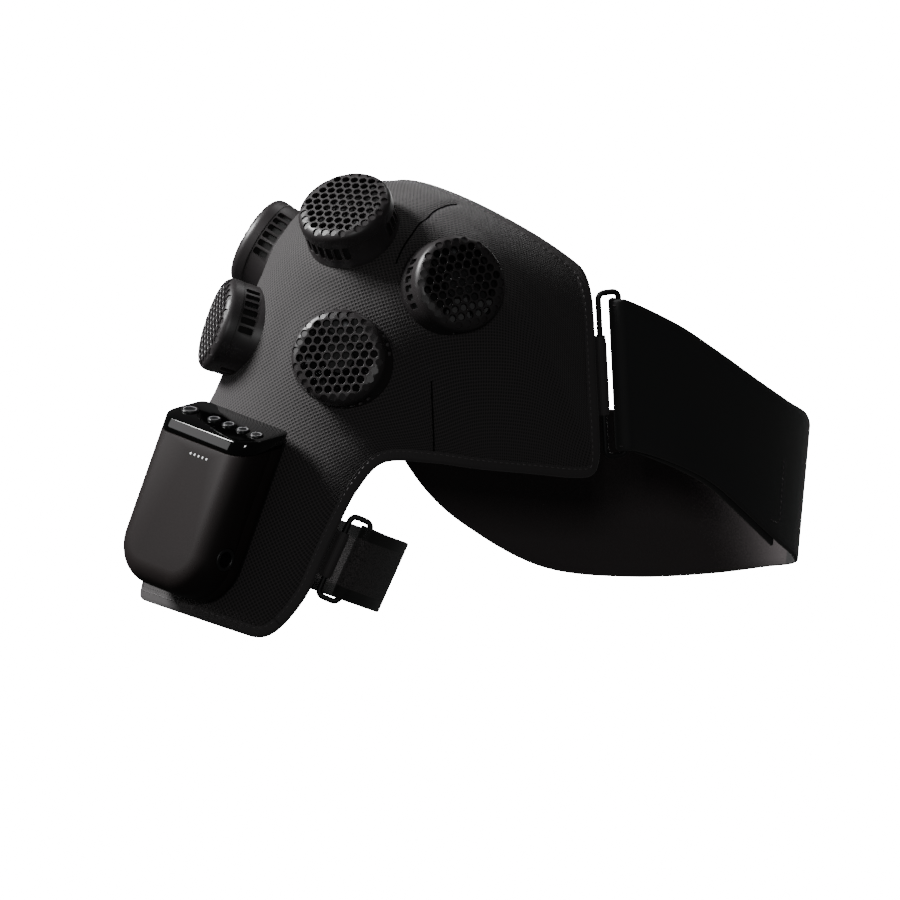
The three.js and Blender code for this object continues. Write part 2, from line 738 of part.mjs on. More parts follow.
function capGeometry() {
  const diagonal = CAP_ROUND * (1 - Math.SQRT1_2);
  const body = revolve(
    [
      [0, CAP_RISE - CAP_WALL],
      [CAP_RADIUS - CAP_ROUND, CAP_RISE - CAP_WALL],
      [CAP_BORE, CAP_RISE - CAP_ROUND],
      [CAP_BORE, -CAP_SKIRT],
      [CAP_RADIUS, -CAP_SKIRT],
      [CAP_RADIUS, CAP_RISE - CAP_ROUND],
      [CAP_RADIUS - diagonal, CAP_RISE - diagonal],
      [CAP_RADIUS - CAP_ROUND, CAP_RISE],
      [0, CAP_RISE],
    ],
    CAP_SIDES,
  );
  return toGeometry(cut(body, grilleCutter(), ventCutter()));
}

// Fan frame: a rim in the cap's bore, spokes, a hub and the shaft that carries the rotor
function fanFrameGeometry() {
  const rim = CAP_BORE * Math.cos(Math.PI / CAP_SIDES) - GAP;
  const ring = cut(
    rod(rim, FRAME_BOTTOM, FRAME_TOP, CAP_SIDES),
    rod(rim - FRAME_RIM, FRAME_BOTTOM - OVERRUN, FRAME_TOP + OVERRUN, CAP_SIDES),
  );
  let frame = ring.add(toSolid(rod(FRAME_HUB_RADIUS, FRAME_BOTTOM, FRAME_TOP, FRAME_HUB_SIDES)));
  frame = frame.add(toSolid(rod(SHAFT_RADIUS, FRAME_BOTTOM, FRAME_TOP + SHAFT_LENGTH, SHAFT_SIDES)));
  for (let k = 0; k < SPOKES; k += 1) {
    const length = rim - FRAME_RIM / 2;
    const spoke = block(length, SPOKE_WIDTH, FRAME_BOTTOM, FRAME_TOP);
    spoke.translate(length / 2, 0, 0);
    spoke.rotateZ((2 * Math.PI * k) / SPOKES);
    frame = frame.add(toSolid(spoke));
  }
  return toGeometry(frame);
}

// One blade: a thin plate from the hub to the tip, pitched and twisted
function bladeGeometry() {
  const root = ROTOR_HUB_RADIUS - BLADE_THICK;
  const length = ROTOR_RADIUS - root;
  const blade = new THREE.BoxGeometry(length, BLADE_CHORD, BLADE_THICK);
  const position = blade.getAttribute("position");
  for (let i = 0; i < position.count; i += 1) {
    const share = position.getX(i) / length + 1 / 2;
    const angle = radians(BLADE_PITCH - BLADE_TWIST * share);
    const chord = position.getY(i) * (1 + share / 3);
    const thick = position.getZ(i);
    position.setXYZ(
      i,
      root + length * share,
      chord * Math.cos(angle) - thick * Math.sin(angle),
      chord * Math.sin(angle) + thick * Math.cos(angle),
    );
  }
  blade.translate(0, 0, ROTOR_BOTTOM + ROTOR_HUB_HEIGHT / 2);
  return blade;
}

function fanRotorGeometry() {
  const bore = SHAFT_RADIUS + RUNNING_GAP;
  const boreTop = FRAME_TOP + SHAFT_LENGTH + RUNNING_GAP;
  const hub = revolve(
    [
      [0, boreTop],
      [bore, boreTop],
      [bore, ROTOR_BOTTOM],
      [ROTOR_HUB_RADIUS, ROTOR_BOTTOM],
      [ROTOR_HUB_RADIUS, ROTOR_BOTTOM + ROTOR_HUB_HEIGHT],
      [0, ROTOR_BOTTOM + ROTOR_HUB_HEIGHT],
    ],
    HUB_SIDES,
  );
  let rotor = toSolid(hub);
  for (let k = 0; k < BLADES; k += 1) {
    const blade = bladeGeometry();
    blade.rotateZ((2 * Math.PI * k) / BLADES);
    rotor = rotor.add(toSolid(blade));
  }
  return toGeometry(rotor);
}

function heatSinkGeometry() {
  const outline = new THREE.Shape();
  const half = SINK_SIDE / 2;
  const pitch = (SINK_SIDE - FIN_THICK) / (SINK_FINS - 1);
  outline.moveTo(-half, 0);
  for (let k = 0; k < SINK_FINS; k += 1) {
    const left = -half + k * pitch;
    if (k > 0) outline.lineTo(left, SINK_BASE);
    outline.lineTo(left, SINK_BASE + FIN_HEIGHT);
    outline.lineTo(left + FIN_THICK, SINK_BASE + FIN_HEIGHT);
    if (k < SINK_FINS - 1) outline.lineTo(left + FIN_THICK, SINK_BASE);
  }
  outline.lineTo(half, 0);
  outline.closePath();
  const geometry = new THREE.ExtrudeGeometry(outline, { depth: SINK_SIDE, bevelEnabled: false });
  geometry.translate(0, 0, -SINK_SIDE / 2);
  geometry.rotateX(Math.PI / 2);
  geometry.translate(0, 0, SINK_BOTTOM);
  return geometry;
}

function contactPlateGeometry() {
  return rod(PLATE_RADIUS, PLATE_TOP - PLATE_THICK, PLATE_TOP, PLATE_SIDES);
}

function peltierGeometry() {
  return block(PELTIER_SIDE, PELTIER_SIDE, PELTIER_BOTTOM, PELTIER_BOTTOM + PELTIER_THICK);
}

function addPods() {
  pods.forEach((pod, i) => {
    const number = i + 1;
    addMesh(pod, "pod_cap_" + number, capGeometry(), MATT_SHELL);
    addMesh(pod, "fan_rotor_" + number, fanRotorGeometry(), FAN_BLACK);
    addMesh(pod, "fan_frame_" + number, fanFrameGeometry(), FAN_BLACK);
    addMesh(pod, "heat_sink_" + number, heatSinkGeometry(), ALUMINIUM);
    addMesh(pod, "thermoelectric_plate_" + number, peltierGeometry(), CERAMIC);
    addMesh(pod, "contact_plate_" + number, contactPlateGeometry(), ALUMINIUM);
    wrap.add(pod);
  });
}

// Wrap pieces

function addWrap() {
  const places = fabricPlaces(BINDING_WIDTH + BINDING_GAP);
  const holes = pods.map((pod) => podCutter(pod, CAP_RADIUS + GAP * 2, CAP_SIDES));
  const shell = cut(fabricLayer(places, 0, SHELL_THICK), ...holes);
  const liner = cut(fabricLayer(places, SHELL_THICK + GAP, STACK), ...holes);
  addMesh(wrap, "outer_shell", toGeometry(shell), FABRIC);
  addMesh(wrap, "inner_liner", toGeometry(liner), LINING);
  addMesh(wrap, "edge_binding", bindingGeometry(), TAPE);
}

// Rings, keepers and straps

// The frame of a ring's near bar beside the front edge: x runs off the edge, y along it, z off the fabric
function ringFrame(place) {
  const { point, alongWay, acrossWay } = wrapFrame(place, 1);
  const y = alongWay.clone().normalize();
  const x = acrossWay.clone().addScaledVector(y, -acrossWay.dot(y)).normalize();
  const z = new THREE.Vector3().crossVectors(x, y);
  const frame = new THREE.Group();
  frame.quaternion.setFromRotationMatrix(new THREE.Matrix4().makeBasis(x, y, z));
  frame.position.copy(point).addScaledVector(x, BAR_OFFSET).addScaledVector(z, -BAR_DROP);
  return frame;
}

// A flat ring of round bar: its near bar lies on the frame's y axis
function ringGeometry(length) {
  const centre = RING_REACH / 2;
  const corners = [
    [1, 1],
    [-1, 1],
    [-1, -1],
    [1, -1],
  ];
  const sections = [];
  corners.forEach(([sx, sy], i) => {
    for (let k = 0; k <= RING_CORNER_STEPS; k += 1) {
      const angle = radians(90 * (i + k / RING_CORNER_STEPS));
      const x = centre + sx * (RING_REACH / 2 - RING_CORNER) + RING_CORNER * Math.cos(angle);
      const y = sy * ((length - BAR) / 2 - RING_CORNER) + RING_CORNER * Math.sin(angle);
      const outwards = new THREE.Vector3(Math.cos(angle), Math.sin(angle), 0);
      const section = [];
      for (let m = 0; m < BAR_SIDES; m += 1) {
        const turn = (2 * Math.PI * m) / BAR_SIDES;
        const point = new THREE.Vector3(x, y, (BAR / 2) * Math.sin(turn));
        section.push(point.addScaledVector(outwards, (BAR / 2) * Math.cos(turn)));
      }
      sections.push(section);
    }
  });
  return loftClosed(sections, true);
}

// Webbing folded round the near bar and sewn under the wrap's edge
function keeperGeometry(length) {
  const bore = BAR / 2 + GAP;
  const round = bore + KEEPER_THICK;
  const top = BAR_DROP - STACK - BINDING_PROUD - KEEPER_GAP;
  const foot = top - 2 * KEEPER_THICK;
  const hole = rod(bore, -length, length, KEEPER_SIDES);
  const eye = cut(rod(round, -length / 2, length / 2, KEEPER_SIDES), hole);
  const tail = new THREE.BoxGeometry(KEEPER_REACH + BAR_OFFSET, top - foot, length);
  tail.translate(-(KEEPER_REACH + BAR_OFFSET) / 2, 0, 0);
  tail.rotateZ(radians(KEEPER_LEAN));
  tail.translate(0, (top + foot) / 2, 0);
  const keeper = eye.add(cut(tail, hole));
  const geometry = toGeometry(keeper);
  geometry.rotateX(Math.PI / 2);
  return geometry;
}

// A band between a grid of centre points, thickened to both sides
function bandGeometry(grid, thickness) {
  const last = grid.length - 1;
  const width = grid[0].length - 1;
  const sections = grid.map((row, i) => {
    const faces = row.map((point, j) => {
      const ahead = grid[Math.min(i + 1, last)][j].clone().sub(grid[Math.max(i - 1, 0)][j]);
      const aside = row[Math.min(j + 1, width)].clone().sub(row[Math.max(j - 1, 0)]);
      return new THREE.Vector3().crossVectors(ahead, aside).normalize();
    });
    const outer = row.map((point, j) => point.clone().addScaledVector(faces[j], thickness / 2));
    const inner = row.map((point, j) => point.clone().addScaledVector(faces[j], -thickness / 2));
    return [...outer, ...inner.reverse()];
  });
  return loftClosed(sections, false);
}

// Rows of centre points for a strap turned round a ring's far bar: in from the strap, round, and back
function barTurn(frame, thickness, low, high, rows, leave) {
  const centre = new THREE.Vector3(RING_REACH, 0, 0);
  const radius = BAR / 2 + BAR_PLAY + thickness / 2;
  const turn = [];
  for (let k = 0; k <= BAR_TURN_STEPS; k += 1) {
    const angle = radians(-90 - leave - (180 * k) / BAR_TURN_STEPS);
    const row = [];
    for (let j = 0; j <= rows; j += 1) {
      const point = new THREE.Vector3(radius * Math.cos(angle), 0, radius * Math.sin(angle)).add(centre);
      point.y = high + ((low - high) * j) / rows;
      row.push(point.applyQuaternion(frame.quaternion).add(frame.position));
    }
    turn.push(row);
  }
  return turn;
}

// Rows of centre points on the inner face of the back half, from a distance inside its edge out to the edge
function sewnRows(places, overlap, thickness, rows) {
  const [first, last] = places;
  const depth = STACK + BINDING_PROUD + STRAP_GAP + thickness / 2;
  const grid = [];
  for (const share of [0, 1 / 2, 1]) {
    const row = [];
    for (let j = 0; j <= rows; j += 1) {
      const along = first + ((last - first) * j) / rows;
      const edge = wrapFrame(along, -1);
      const y = edge.alongWay.clone().normalize();
      const inwards = edge.acrossWay.clone().addScaledVector(y, -edge.acrossWay.dot(y)).normalize();
      const place = nearestPlace(edge.point.addScaledVector(inwards, overlap * share), [along, -1]);
      const { point, normal } = wrapFrame(...place);
      row.push(point.addScaledVector(normal, -depth));
    }
    grid.push(row);
  }
  return grid;
}

function chestStrapGeometry(frame) {
  const rows = CHEST_STRAP_ROWS;
  const unit = CHEST_STRAP_UNIT;
  const middle = frame.position.z;
  const foot = chestFootShares[0] * unit - middle;
  const top = chestTopShares[0] * unit - middle;
  const turn = barTurn(frame, CHEST_STRAP_THICK, foot, top, rows, CHEST_LEAVE);
  const outerEnd = turn[turn.length - 1][Math.floor(rows / 2)];
  const sewn = sewnRows(CHEST_WING_PLACES, CHEST_WING_OVERLAP, CHEST_STRAP_THICK, rows);
  const backEnd = sewn[0][Math.floor(rows / 2)];
  const loop = (step, inset) => {
    const angle = radians(chestAngles[step]);
    const depth = angle < 0 ? -outerEnd.y : backEnd.y;
    const row = [];
    for (let j = 0; j <= rows; j += 1) {
      const high = chestTopShares[step] * unit;
      const low = chestFootShares[step] * unit;
      row.push(
        new THREE.Vector3(
          outerEnd.x + (CHEST_STRAP_REACH - inset) * Math.cos(angle),
          (depth - inset) * Math.sin(angle),
          high + ((low - high) * j) / rows,
        ),
      );
    }
    return row;
  };
  const grid = [];
  for (let step = CHEST_TURNBACK_STEPS; step > 0; step -= 1) grid.push(loop(step, CHEST_STRAP_THICK + GAP));
  grid.push(...turn);
  for (let step = 1; step < chestAngles.length - 1; step += 1) grid.push(loop(step, 0));
  grid.push(...sewn);
  return bandGeometry(grid, CHEST_STRAP_THICK);
}

function armStrapGeometry(frame) {
  const rows = ARM_STRAP_ROWS;
  const half = ARM_STRAP_WIDTH / 2;
  const turn = barTurn(frame, ARM_STRAP_THICK, -half, half, rows, ARM_LEAVE);
  const wing = [ARM_RING_PLACE + ARM_WING_SHARE, ARM_RING_PLACE - ARM_WING_SHARE];
  const sewn = sewnRows(wing, ARM_STRAP_OVERLAP, ARM_STRAP_THICK, rows);
  const up = new THREE.Vector3(0, 1, 0).applyQuaternion(frame.quaternion);
  const start = turn[turn.length - 1][rows / 2];
  const end = sewn[0][rows / 2];
  const centre = start.clone().add(end).multiplyScalar(1 / 2);
  const side = start.clone().sub(end).multiplyScalar(1 / 2);
  const inwards = new THREE.Vector3().crossVectors(up, side).normalize();
  const loop = (step, inset) => {
    const angle = (Math.PI * step) / ARM_STRAP_STEPS;
    const middle = centre
      .clone()
      .addScaledVector(side, Math.cos(angle) * (1 - inset / side.length()))
      .addScaledVector(inwards, (ARM_STRAP_RADIUS - inset) * Math.sin(angle));
    const row = [];
    for (let j = 0; j <= rows; j += 1) {
      row.push(middle.clone().addScaledVector(up, half - (ARM_STRAP_WIDTH * j) / rows));
    }
    return row;
  };
  const grid = [];
  for (let step = ARM_TURNBACK_STEPS; step > 0; step -= 1) grid.push(loop(step, ARM_STRAP_THICK + GAP));
  grid.push(...turn);
  for (let step = 1; step < ARM_STRAP_STEPS; step += 1) grid.push(loop(step, 0));
  grid.push(...sewn);
  return bandGeometry(grid, ARM_STRAP_THICK);
}

function addRings() {
  const chest = ringFrame(CHEST_RING_PLACE);
  addMesh(chest, "chest_ring", ringGeometry(CHEST_RING_LENGTH), NYLON);
  addMesh(chest, "chest_ring_keeper", keeperGeometry(CHEST_KEEPER_LENGTH), TAPE);
  addMesh(wrap, "chest_strap", chestStrapGeometry(chest), NEOPRENE);
  const arm = ringFrame(ARM_RING_PLACE);
  addMesh(arm, "arm_ring", ringGeometry(ARM_RING_LENGTH), NYLON);
  addMesh(arm, "arm_ring_keeper", keeperGeometry(ARM_KEEPER_LENGTH), TAPE);
  addMesh(wrap, "arm_strap", armStrapGeometry(arm), ELASTIC);
  wrap.add(chest, arm);
}

// Pack

// Rounded outline in plan: large rounds at the front (+y), small ones at the back
function packPlan(inset) {
  const half = PACK_WIDTH / 2 - inset;
  const back = inset;
  const front = PACK_DEPTH - inset;
  const backRound = Math.max(PACK_BACK_ROUND - inset, PACK_BACK_ROUND / 2);
  const frontRound = PACK_FRONT_ROUND - inset;
  const shape = new THREE.Shape();
  shape.moveTo(-half + backRound, back);
  shape.lineTo(half - backRound, back);
  shape.absarc(half - backRound, back + backRound, backRound, -Math.PI / 2, 0);
  shape.lineTo(half, front - frontRound);
  shape.absarc(half - frontRound, front - frontRound, frontRound, 0, Math.PI / 2);
  shape.lineTo(-half + frontRound, front);
  shape.absarc(-half + frontRound, front - frontRound, frontRound, Math.PI / 2, Math.PI);
  shape.lineTo(-half, back + backRound);
  shape.absarc(-half + backRound, back + backRound, backRound, Math.PI, Math.PI * 1.5);
  return shape;
}

// Front view: straight sides and a rounded foot, as a prism through the pack's depth
function packElevation(inset) {
  const half = PACK_WIDTH / 2 - inset;
  const round = PACK_BOTTOM_ROUND - inset;
  const foot = -PACK_HEIGHT / 2 + inset;
  const top = PACK_HEIGHT / 2 + OVERRUN;
  const shape = new THREE.Shape();
  shape.moveTo(-half - OVERRUN, top);
  shape.lineTo(-half - OVERRUN, foot + round);
  shape.lineTo(-half, foot + round);
  shape.absarc(-half + round, foot + round, round, Math.PI, Math.PI * 1.5);
  shape.lineTo(half - round, foot);
  shape.absarc(half - round, foot + round, round, -Math.PI / 2, 0);
  shape.lineTo(half + OVERRUN, foot + round);
  shape.lineTo(half + OVERRUN, top);
  const geometry = prism(shape, 0, PACK_DEPTH + OVERRUN * 2, FOOT_SEGMENTS);
  geometry.rotateX(Math.PI / 2);
  geometry.translate(0, PACK_DEPTH + OVERRUN, 0);
  return geometry;
}

// Side view: the foot's front edge is rounded, as a prism through the pack's width
function packProfile(inset) {
  const front = PACK_DEPTH - inset;
  const foot = -PACK_HEIGHT / 2 + inset;
  const round = PACK_FOOT_ROUND - inset;
  const top = PACK_HEIGHT / 2 + OVERRUN;
  const shape = new THREE.Shape();
  shape.moveTo(-OVERRUN, top);
  shape.lineTo(-OVERRUN, foot);
  shape.lineTo(front - round, foot);
  shape.absarc(front - round, foot + round, round, -Math.PI / 2, 0);
  shape.lineTo(front, top);
  const geometry = prism(shape, -PACK_WIDTH / 2 - OVERRUN, PACK_WIDTH / 2 + OVERRUN);
  const axes = [new THREE.Vector3(0, 1, 0), new THREE.Vector3(0, 0, 1), new THREE.Vector3(1, 0, 0)];
  return geometry.applyMatrix4(new THREE.Matrix4().makeBasis(...axes));
}

// Everything above a plane parallel to the sloped panel, a given drop below it
function abovePanel(drop) {
  const size = PACK_HEIGHT * 2;
  const geometry = new THREE.BoxGeometry(size, size, size);
  geometry.translate(0, 0, size / 2 - drop);
  geometry.rotateX(radians(-PACK_SLOPE));
  geometry.translate(0, 0, PACK_HEIGHT / 2);
  return geometry;
}

function packBody(inset) {
  const foot = -PACK_HEIGHT / 2;
  const plan = prism(packPlan(inset), foot, PACK_HEIGHT / 2 + OVERRUN);
  return toSolid(plan).intersect(toSolid(packElevation(inset))).intersect(toSolid(packProfile(inset)));
}

// Everything between two depths of the pack
function packSlice(back, front) {
  const slice = block(PACK_WIDTH * 2, front - back, -PACK_HEIGHT, PACK_HEIGHT);
  slice.translate(0, (back + front) / 2, 0);
  return toSolid(slice);
}

// A point on the sloped panel: across from its middle, down its slope, and how deep below its face
function onPanel(geometry) {
  geometry.rotateX(radians(-PACK_SLOPE));
  geometry.translate(0, 0, PACK_HEIGHT / 2);
  return geometry;
}

const PANEL_DEPTH = PACK_DEPTH / Math.cos(radians(PACK_SLOPE));
const buttonAcross = buttonShares.map((share) => (share * PACK_WIDTH) / 2);
const buttonRadii = buttonAcross.map((across, i) => (i === 0 ? POWER_BUTTON_RADIUS : BUTTON_RADIUS));
const BUTTON_ROW = PANEL_DEPTH / 2 + BUTTON_ROW_SHIFT;

function buttonGeometry(across, radius) {
  const flangeTop = -PANEL_SKIN - GAP;
  const flangeBottom = flangeTop - BUTTON_FLANGE_THICK;
  const profile = [
    [0, flangeBottom],
    [radius + BUTTON_FLANGE, flangeBottom],
    [radius + BUTTON_FLANGE, flangeTop],
    [radius, flangeTop],
    [radius, BUTTON_PROUD - BUTTON_PROUD / 3],
    [radius - BUTTON_PROUD / 2, BUTTON_PROUD],
    [0, BUTTON_PROUD],
  ];
  const button = revolve(profile, BUTTON_SIDES);
  button.translate(across, BUTTON_ROW, 0);
  return onPanel(button);
}

function controlPanelGeometry() {
  const below = toSolid(abovePanel(PANEL_THICK));
  const above = toSolid(abovePanel(0));
  const hollow = packBody(PACK_WALL).subtract(toSolid(abovePanel(PANEL_SKIN)));
  let panel = packBody(0).intersect(below).subtract(above).subtract(hollow);
  buttonAcross.forEach((across, i) => {
    const hole = rod(buttonRadii[i] + GAP, -PANEL_SKIN - OVERRUN, OVERRUN, BUTTON_SIDES);
    hole.translate(across, BUTTON_ROW, 0);
    panel = panel.subtract(toSolid(onPanel(hole)));
  });
  return toGeometry(panel);
}

function lightAcross(k) {
  return (k - (LIGHTS - 1) / 2) * LIGHT_PITCH - LIGHT_PITCH * LIGHT_SHIFT_SHARE;
}

function lightHeight() {
  const panelFront = PACK_HEIGHT / 2 - PACK_DEPTH * Math.tan(radians(PACK_SLOPE));
  return panelFront - PANEL_THICK / Math.cos(radians(PACK_SLOPE)) - LIGHT_DROP;
}

function lightPin(k, radius, back, front) {
  const pin = rod(radius, back, front, LIGHT_SIDES);
  pin.rotateX(-Math.PI / 2);
  pin.translate(lightAcross(k), 0, lightHeight());
  return pin;
}

const SOCKET_RISE = SOCKET_HEIGHT - PACK_HEIGHT / 2; // from the pack's middle

function socketCutter() {
  const cutter = rod(SOCKET_RADIUS + PACK_WALL + GAP, -SOCKET_DEPTH, OVERRUN, SOCKET_SIDES);
  cutter.rotateY(-Math.PI / 2);
  cutter.translate(-PACK_WIDTH / 2, PACK_DEPTH / 2, SOCKET_RISE);
  return cutter;
}

function frontShellGeometry() {
  const above = toSolid(abovePanel(PANEL_THICK + GAP));
  const slice = packSlice(REAR_SHELL_DEPTH + GAP, PACK_DEPTH + OVERRUN);
  const outside = packBody(0).subtract(above).intersect(slice);
  let shell = outside.subtract(packBody(PACK_WALL));
  for (let k = 0; k < LIGHTS; k += 1) {
    const hole = lightPin(k, LIGHT_RADIUS + GAP, PACK_DEPTH - PACK_WALL * 2, PACK_DEPTH + OVERRUN);
    shell = shell.subtract(toSolid(hole));
  }
  shell = shell.subtract(toSolid(socketCutter()));
  return toGeometry(shell);
}

function rearShellGeometry() {
  const above = toSolid(abovePanel(PANEL_THICK + GAP));
  const outside = packBody(0).subtract(above).intersect(packSlice(-OVERRUN, REAR_SHELL_DEPTH));
  let shell = outside.subtract(packBody(PACK_WALL));
  shell = shell.subtract(toSolid(socketCutter()));
  return toGeometry(shell);
}

function lightGuideGeometry() {
  const width = LIGHT_PITCH * LIGHTS;
  const back = PACK_DEPTH - PACK_WALL - GAP;
  const bar = block(width, 2 * LIGHT_RADIUS, -LIGHT_RADIUS, LIGHT_RADIUS);
  bar.translate(lightAcross((LIGHTS - 1) / 2), back - LIGHT_RADIUS, lightHeight());
  const pins = [];
  for (let k = 0; k < LIGHTS; k += 1) pins.push(lightPin(k, LIGHT_RADIUS, back - LIGHT_RADIUS, PACK_DEPTH));
  return toGeometry(join(bar, ...pins));
}

function cellGeometry(side) {
  const round = CELL_RADIUS / 8;
  const cell = revolve(
    [
      [0, -CELL_LENGTH / 2],
      [CELL_RADIUS, -CELL_LENGTH / 2],
      [CELL_RADIUS, CELL_LENGTH / 2 - round],
      [CELL_RADIUS - round, CELL_LENGTH / 2],
      [0, CELL_LENGTH / 2],
    ],
    CELL_SIDES,
  );
  const foot = -PACK_HEIGHT / 2 + PACK_WALL + CELL_LIFT;
  const middle = PACK_WALL + BOARD_THICK + GAP * 2 + CELL_RADIUS;
  cell.translate(side * (CELL_RADIUS + CELL_GAP / 2), middle, foot + CELL_LENGTH / 2);
  return cell;
}

function circuitBoardGeometry() {
  const foot = -PACK_HEIGHT / 2 + PACK_WALL + CELL_LIFT;
  const board = block(BOARD_WIDTH, BOARD_THICK, foot, foot + CELL_LENGTH);
  board.translate(0, PACK_WALL + GAP + BOARD_THICK / 2, 0);
  return board;
}

function switchBoardGeometry() {
  const width = PACK_WIDTH - 2 * (PACK_WALL + PACK_FRONT_ROUND / 2);
  const depth = PANEL_DEPTH - SWITCH_BOARD_MARGIN * 2;
  const top = -PANEL_SKIN - GAP - BUTTON_FLANGE_THICK - BUTTON_TRAVEL - GAP;
  const board = block(width, depth, top - SWITCH_BOARD_THICK, top);
  board.translate(0, PANEL_DEPTH / 2, 0);
  return onPanel(board);
}

function socketGeometry() {
  const body = revolve(
    [
      [0, -SOCKET_DEPTH - PACK_WALL],
      [SOCKET_RADIUS + PACK_WALL, -SOCKET_DEPTH - PACK_WALL],
      [SOCKET_RADIUS + PACK_WALL, 0],
      [SOCKET_RADIUS, 0],
      [SOCKET_RADIUS, -SOCKET_DEPTH],
      [SOCKET_PIN_RADIUS, -SOCKET_DEPTH],
      [SOCKET_PIN_RADIUS, -SOCKET_DEPTH / 2],
      [0, -SOCKET_DEPTH / 2],
    ],
    SOCKET_SIDES,
  );
  body.rotateY(-Math.PI / 2);
  body.translate(-PACK_WIDTH / 2, PACK_DEPTH / 2, SOCKET_RISE);
  return body;
}

function backingGeometry() {
  const half = PACK_WIDTH / 2 - BACKING_MARGIN;
  const tall = PACK_HEIGHT / 2 - BACKING_MARGIN;
  const round = PACK_BOTTOM_ROUND - BACKING_MARGIN;
  const shape = new THREE.Shape();
  shape.moveTo(-half, tall);
  shape.lineTo(-half, -tall + round);
  shape.absarc(-half + round, -tall + round, round, Math.PI, Math.PI * 1.5);
  shape.lineTo(half - round, -tall);
  shape.absarc(half - round, -tall + round, round, -Math.PI / 2, 0);
  shape.lineTo(half, tall);
  const plate = prism(shape, 0, BACKING_THICK);
  plate.rotateX(Math.PI / 2);
  plate.translate(0, -GAP, 0);
  return plate;
}

function packFrame() {
  const { point, alongWay, normal } = wrapFrame(PACK_PLACE, 0);
  const up = alongWay.clone().normalize();
  const x = new THREE.Vector3().crossVectors(normal, up);
  const pack = new THREE.Group();
  pack.quaternion.setFromRotationMatrix(new THREE.Matrix4().makeBasis(x, normal, up));
  pack.position.copy(point).addScaledVector(normal, PACK_STANDOFF + GAP + BACKING_THICK);
  pack.rotateZ(radians(PACK_TURN));
  pack.translateX(-PACK_SHIFT);
  return pack;
}

function addPack() {
  const pack = packFrame();
  addMesh(pack, "pack_front_shell", frontShellGeometry(), SOFT_SHELL);
  addMesh(pack, "pack_rear_shell", rearShellGeometry(), SOFT_SHELL);
  addMesh(pack, "control_panel", controlPanelGeometry(), GLOSS_PANEL);
  buttonAcross.forEach((across, i) => {
    addMesh(pack, "button_" + (i + 1), buttonGeometry(across, buttonRadii[i]), BUTTON_GREY);
  });
  addMesh(pack, "light_guide", lightGuideGeometry(), LIGHT_PIPE);
  addMesh(pack, "switch_board", switchBoardGeometry(), BOARD_GREEN);
  addMesh(pack, "circuit_board", circuitBoardGeometry(), BOARD_GREEN);
  addMesh(pack, "battery_cell_left", cellGeometry(-1), CELL_WRAP);
  addMesh(pack, "battery_cell_right", cellGeometry(1), CELL_WRAP);
  addMesh(pack, "charging_socket", socketGeometry(), BRASS);
  addMesh(pack, "pack_backing_plate", backingGeometry(), NYLON);
  wrap.add(pack);
}

addWrap();
addPods();
addRings();
addPack();

export default wrap;
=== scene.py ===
"""The looks of a shoulder wrap for hot and cold therapy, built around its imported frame.

Lengths are in metres. -Y is the wearer's front, -X the outer side of the arm and +X the neck.
"""

import math

import bmesh
import bpy
import numpy as np
from mathutils import Matrix, Vector


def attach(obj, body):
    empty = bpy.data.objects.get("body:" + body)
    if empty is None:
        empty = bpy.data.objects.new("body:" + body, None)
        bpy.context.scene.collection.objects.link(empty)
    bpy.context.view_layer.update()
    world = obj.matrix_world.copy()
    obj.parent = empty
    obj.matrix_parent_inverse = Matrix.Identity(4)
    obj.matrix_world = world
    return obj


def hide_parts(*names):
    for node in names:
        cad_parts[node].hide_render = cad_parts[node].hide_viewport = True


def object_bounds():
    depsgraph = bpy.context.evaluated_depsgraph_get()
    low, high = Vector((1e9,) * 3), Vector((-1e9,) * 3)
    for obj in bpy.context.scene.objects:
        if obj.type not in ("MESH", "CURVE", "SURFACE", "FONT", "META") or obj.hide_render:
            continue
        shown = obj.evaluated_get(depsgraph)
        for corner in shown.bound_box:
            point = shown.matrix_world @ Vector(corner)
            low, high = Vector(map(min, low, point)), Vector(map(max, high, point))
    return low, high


MM = 0.001
WAVE_SCALE = 1 / 6.2832 * 2  # the wave texture's scale that gives ribs of a pitch of one
CLOTH_SMOOTH = 50  # degrees up to which faces of fabric shade as one

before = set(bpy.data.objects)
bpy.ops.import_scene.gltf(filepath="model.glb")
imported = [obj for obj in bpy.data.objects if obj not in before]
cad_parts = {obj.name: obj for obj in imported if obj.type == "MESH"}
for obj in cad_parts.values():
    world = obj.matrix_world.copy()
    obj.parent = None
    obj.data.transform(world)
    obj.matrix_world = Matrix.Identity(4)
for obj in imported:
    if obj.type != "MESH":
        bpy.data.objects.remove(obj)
frame_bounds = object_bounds()

# Sizes of the frame's solids, with those that only the looks have beside them. The chest strap's
# heights and leans are its looks' own, fitted after the solids were packed.

GAP = 0.3 * MM
ARM_REACH = 128 * MM
FLAP_DEPTH = 95 * MM
NECK_RISE = 82 * MM
SHELL_THICK = 4 * MM
LINER_THICK = 2 * MM
STACK = SHELL_THICK + GAP + LINER_THICK
BINDING_WIDTH = 6 * MM
HEM_CORNER = 20 * MM
NECK_CORNER = 9 * MM

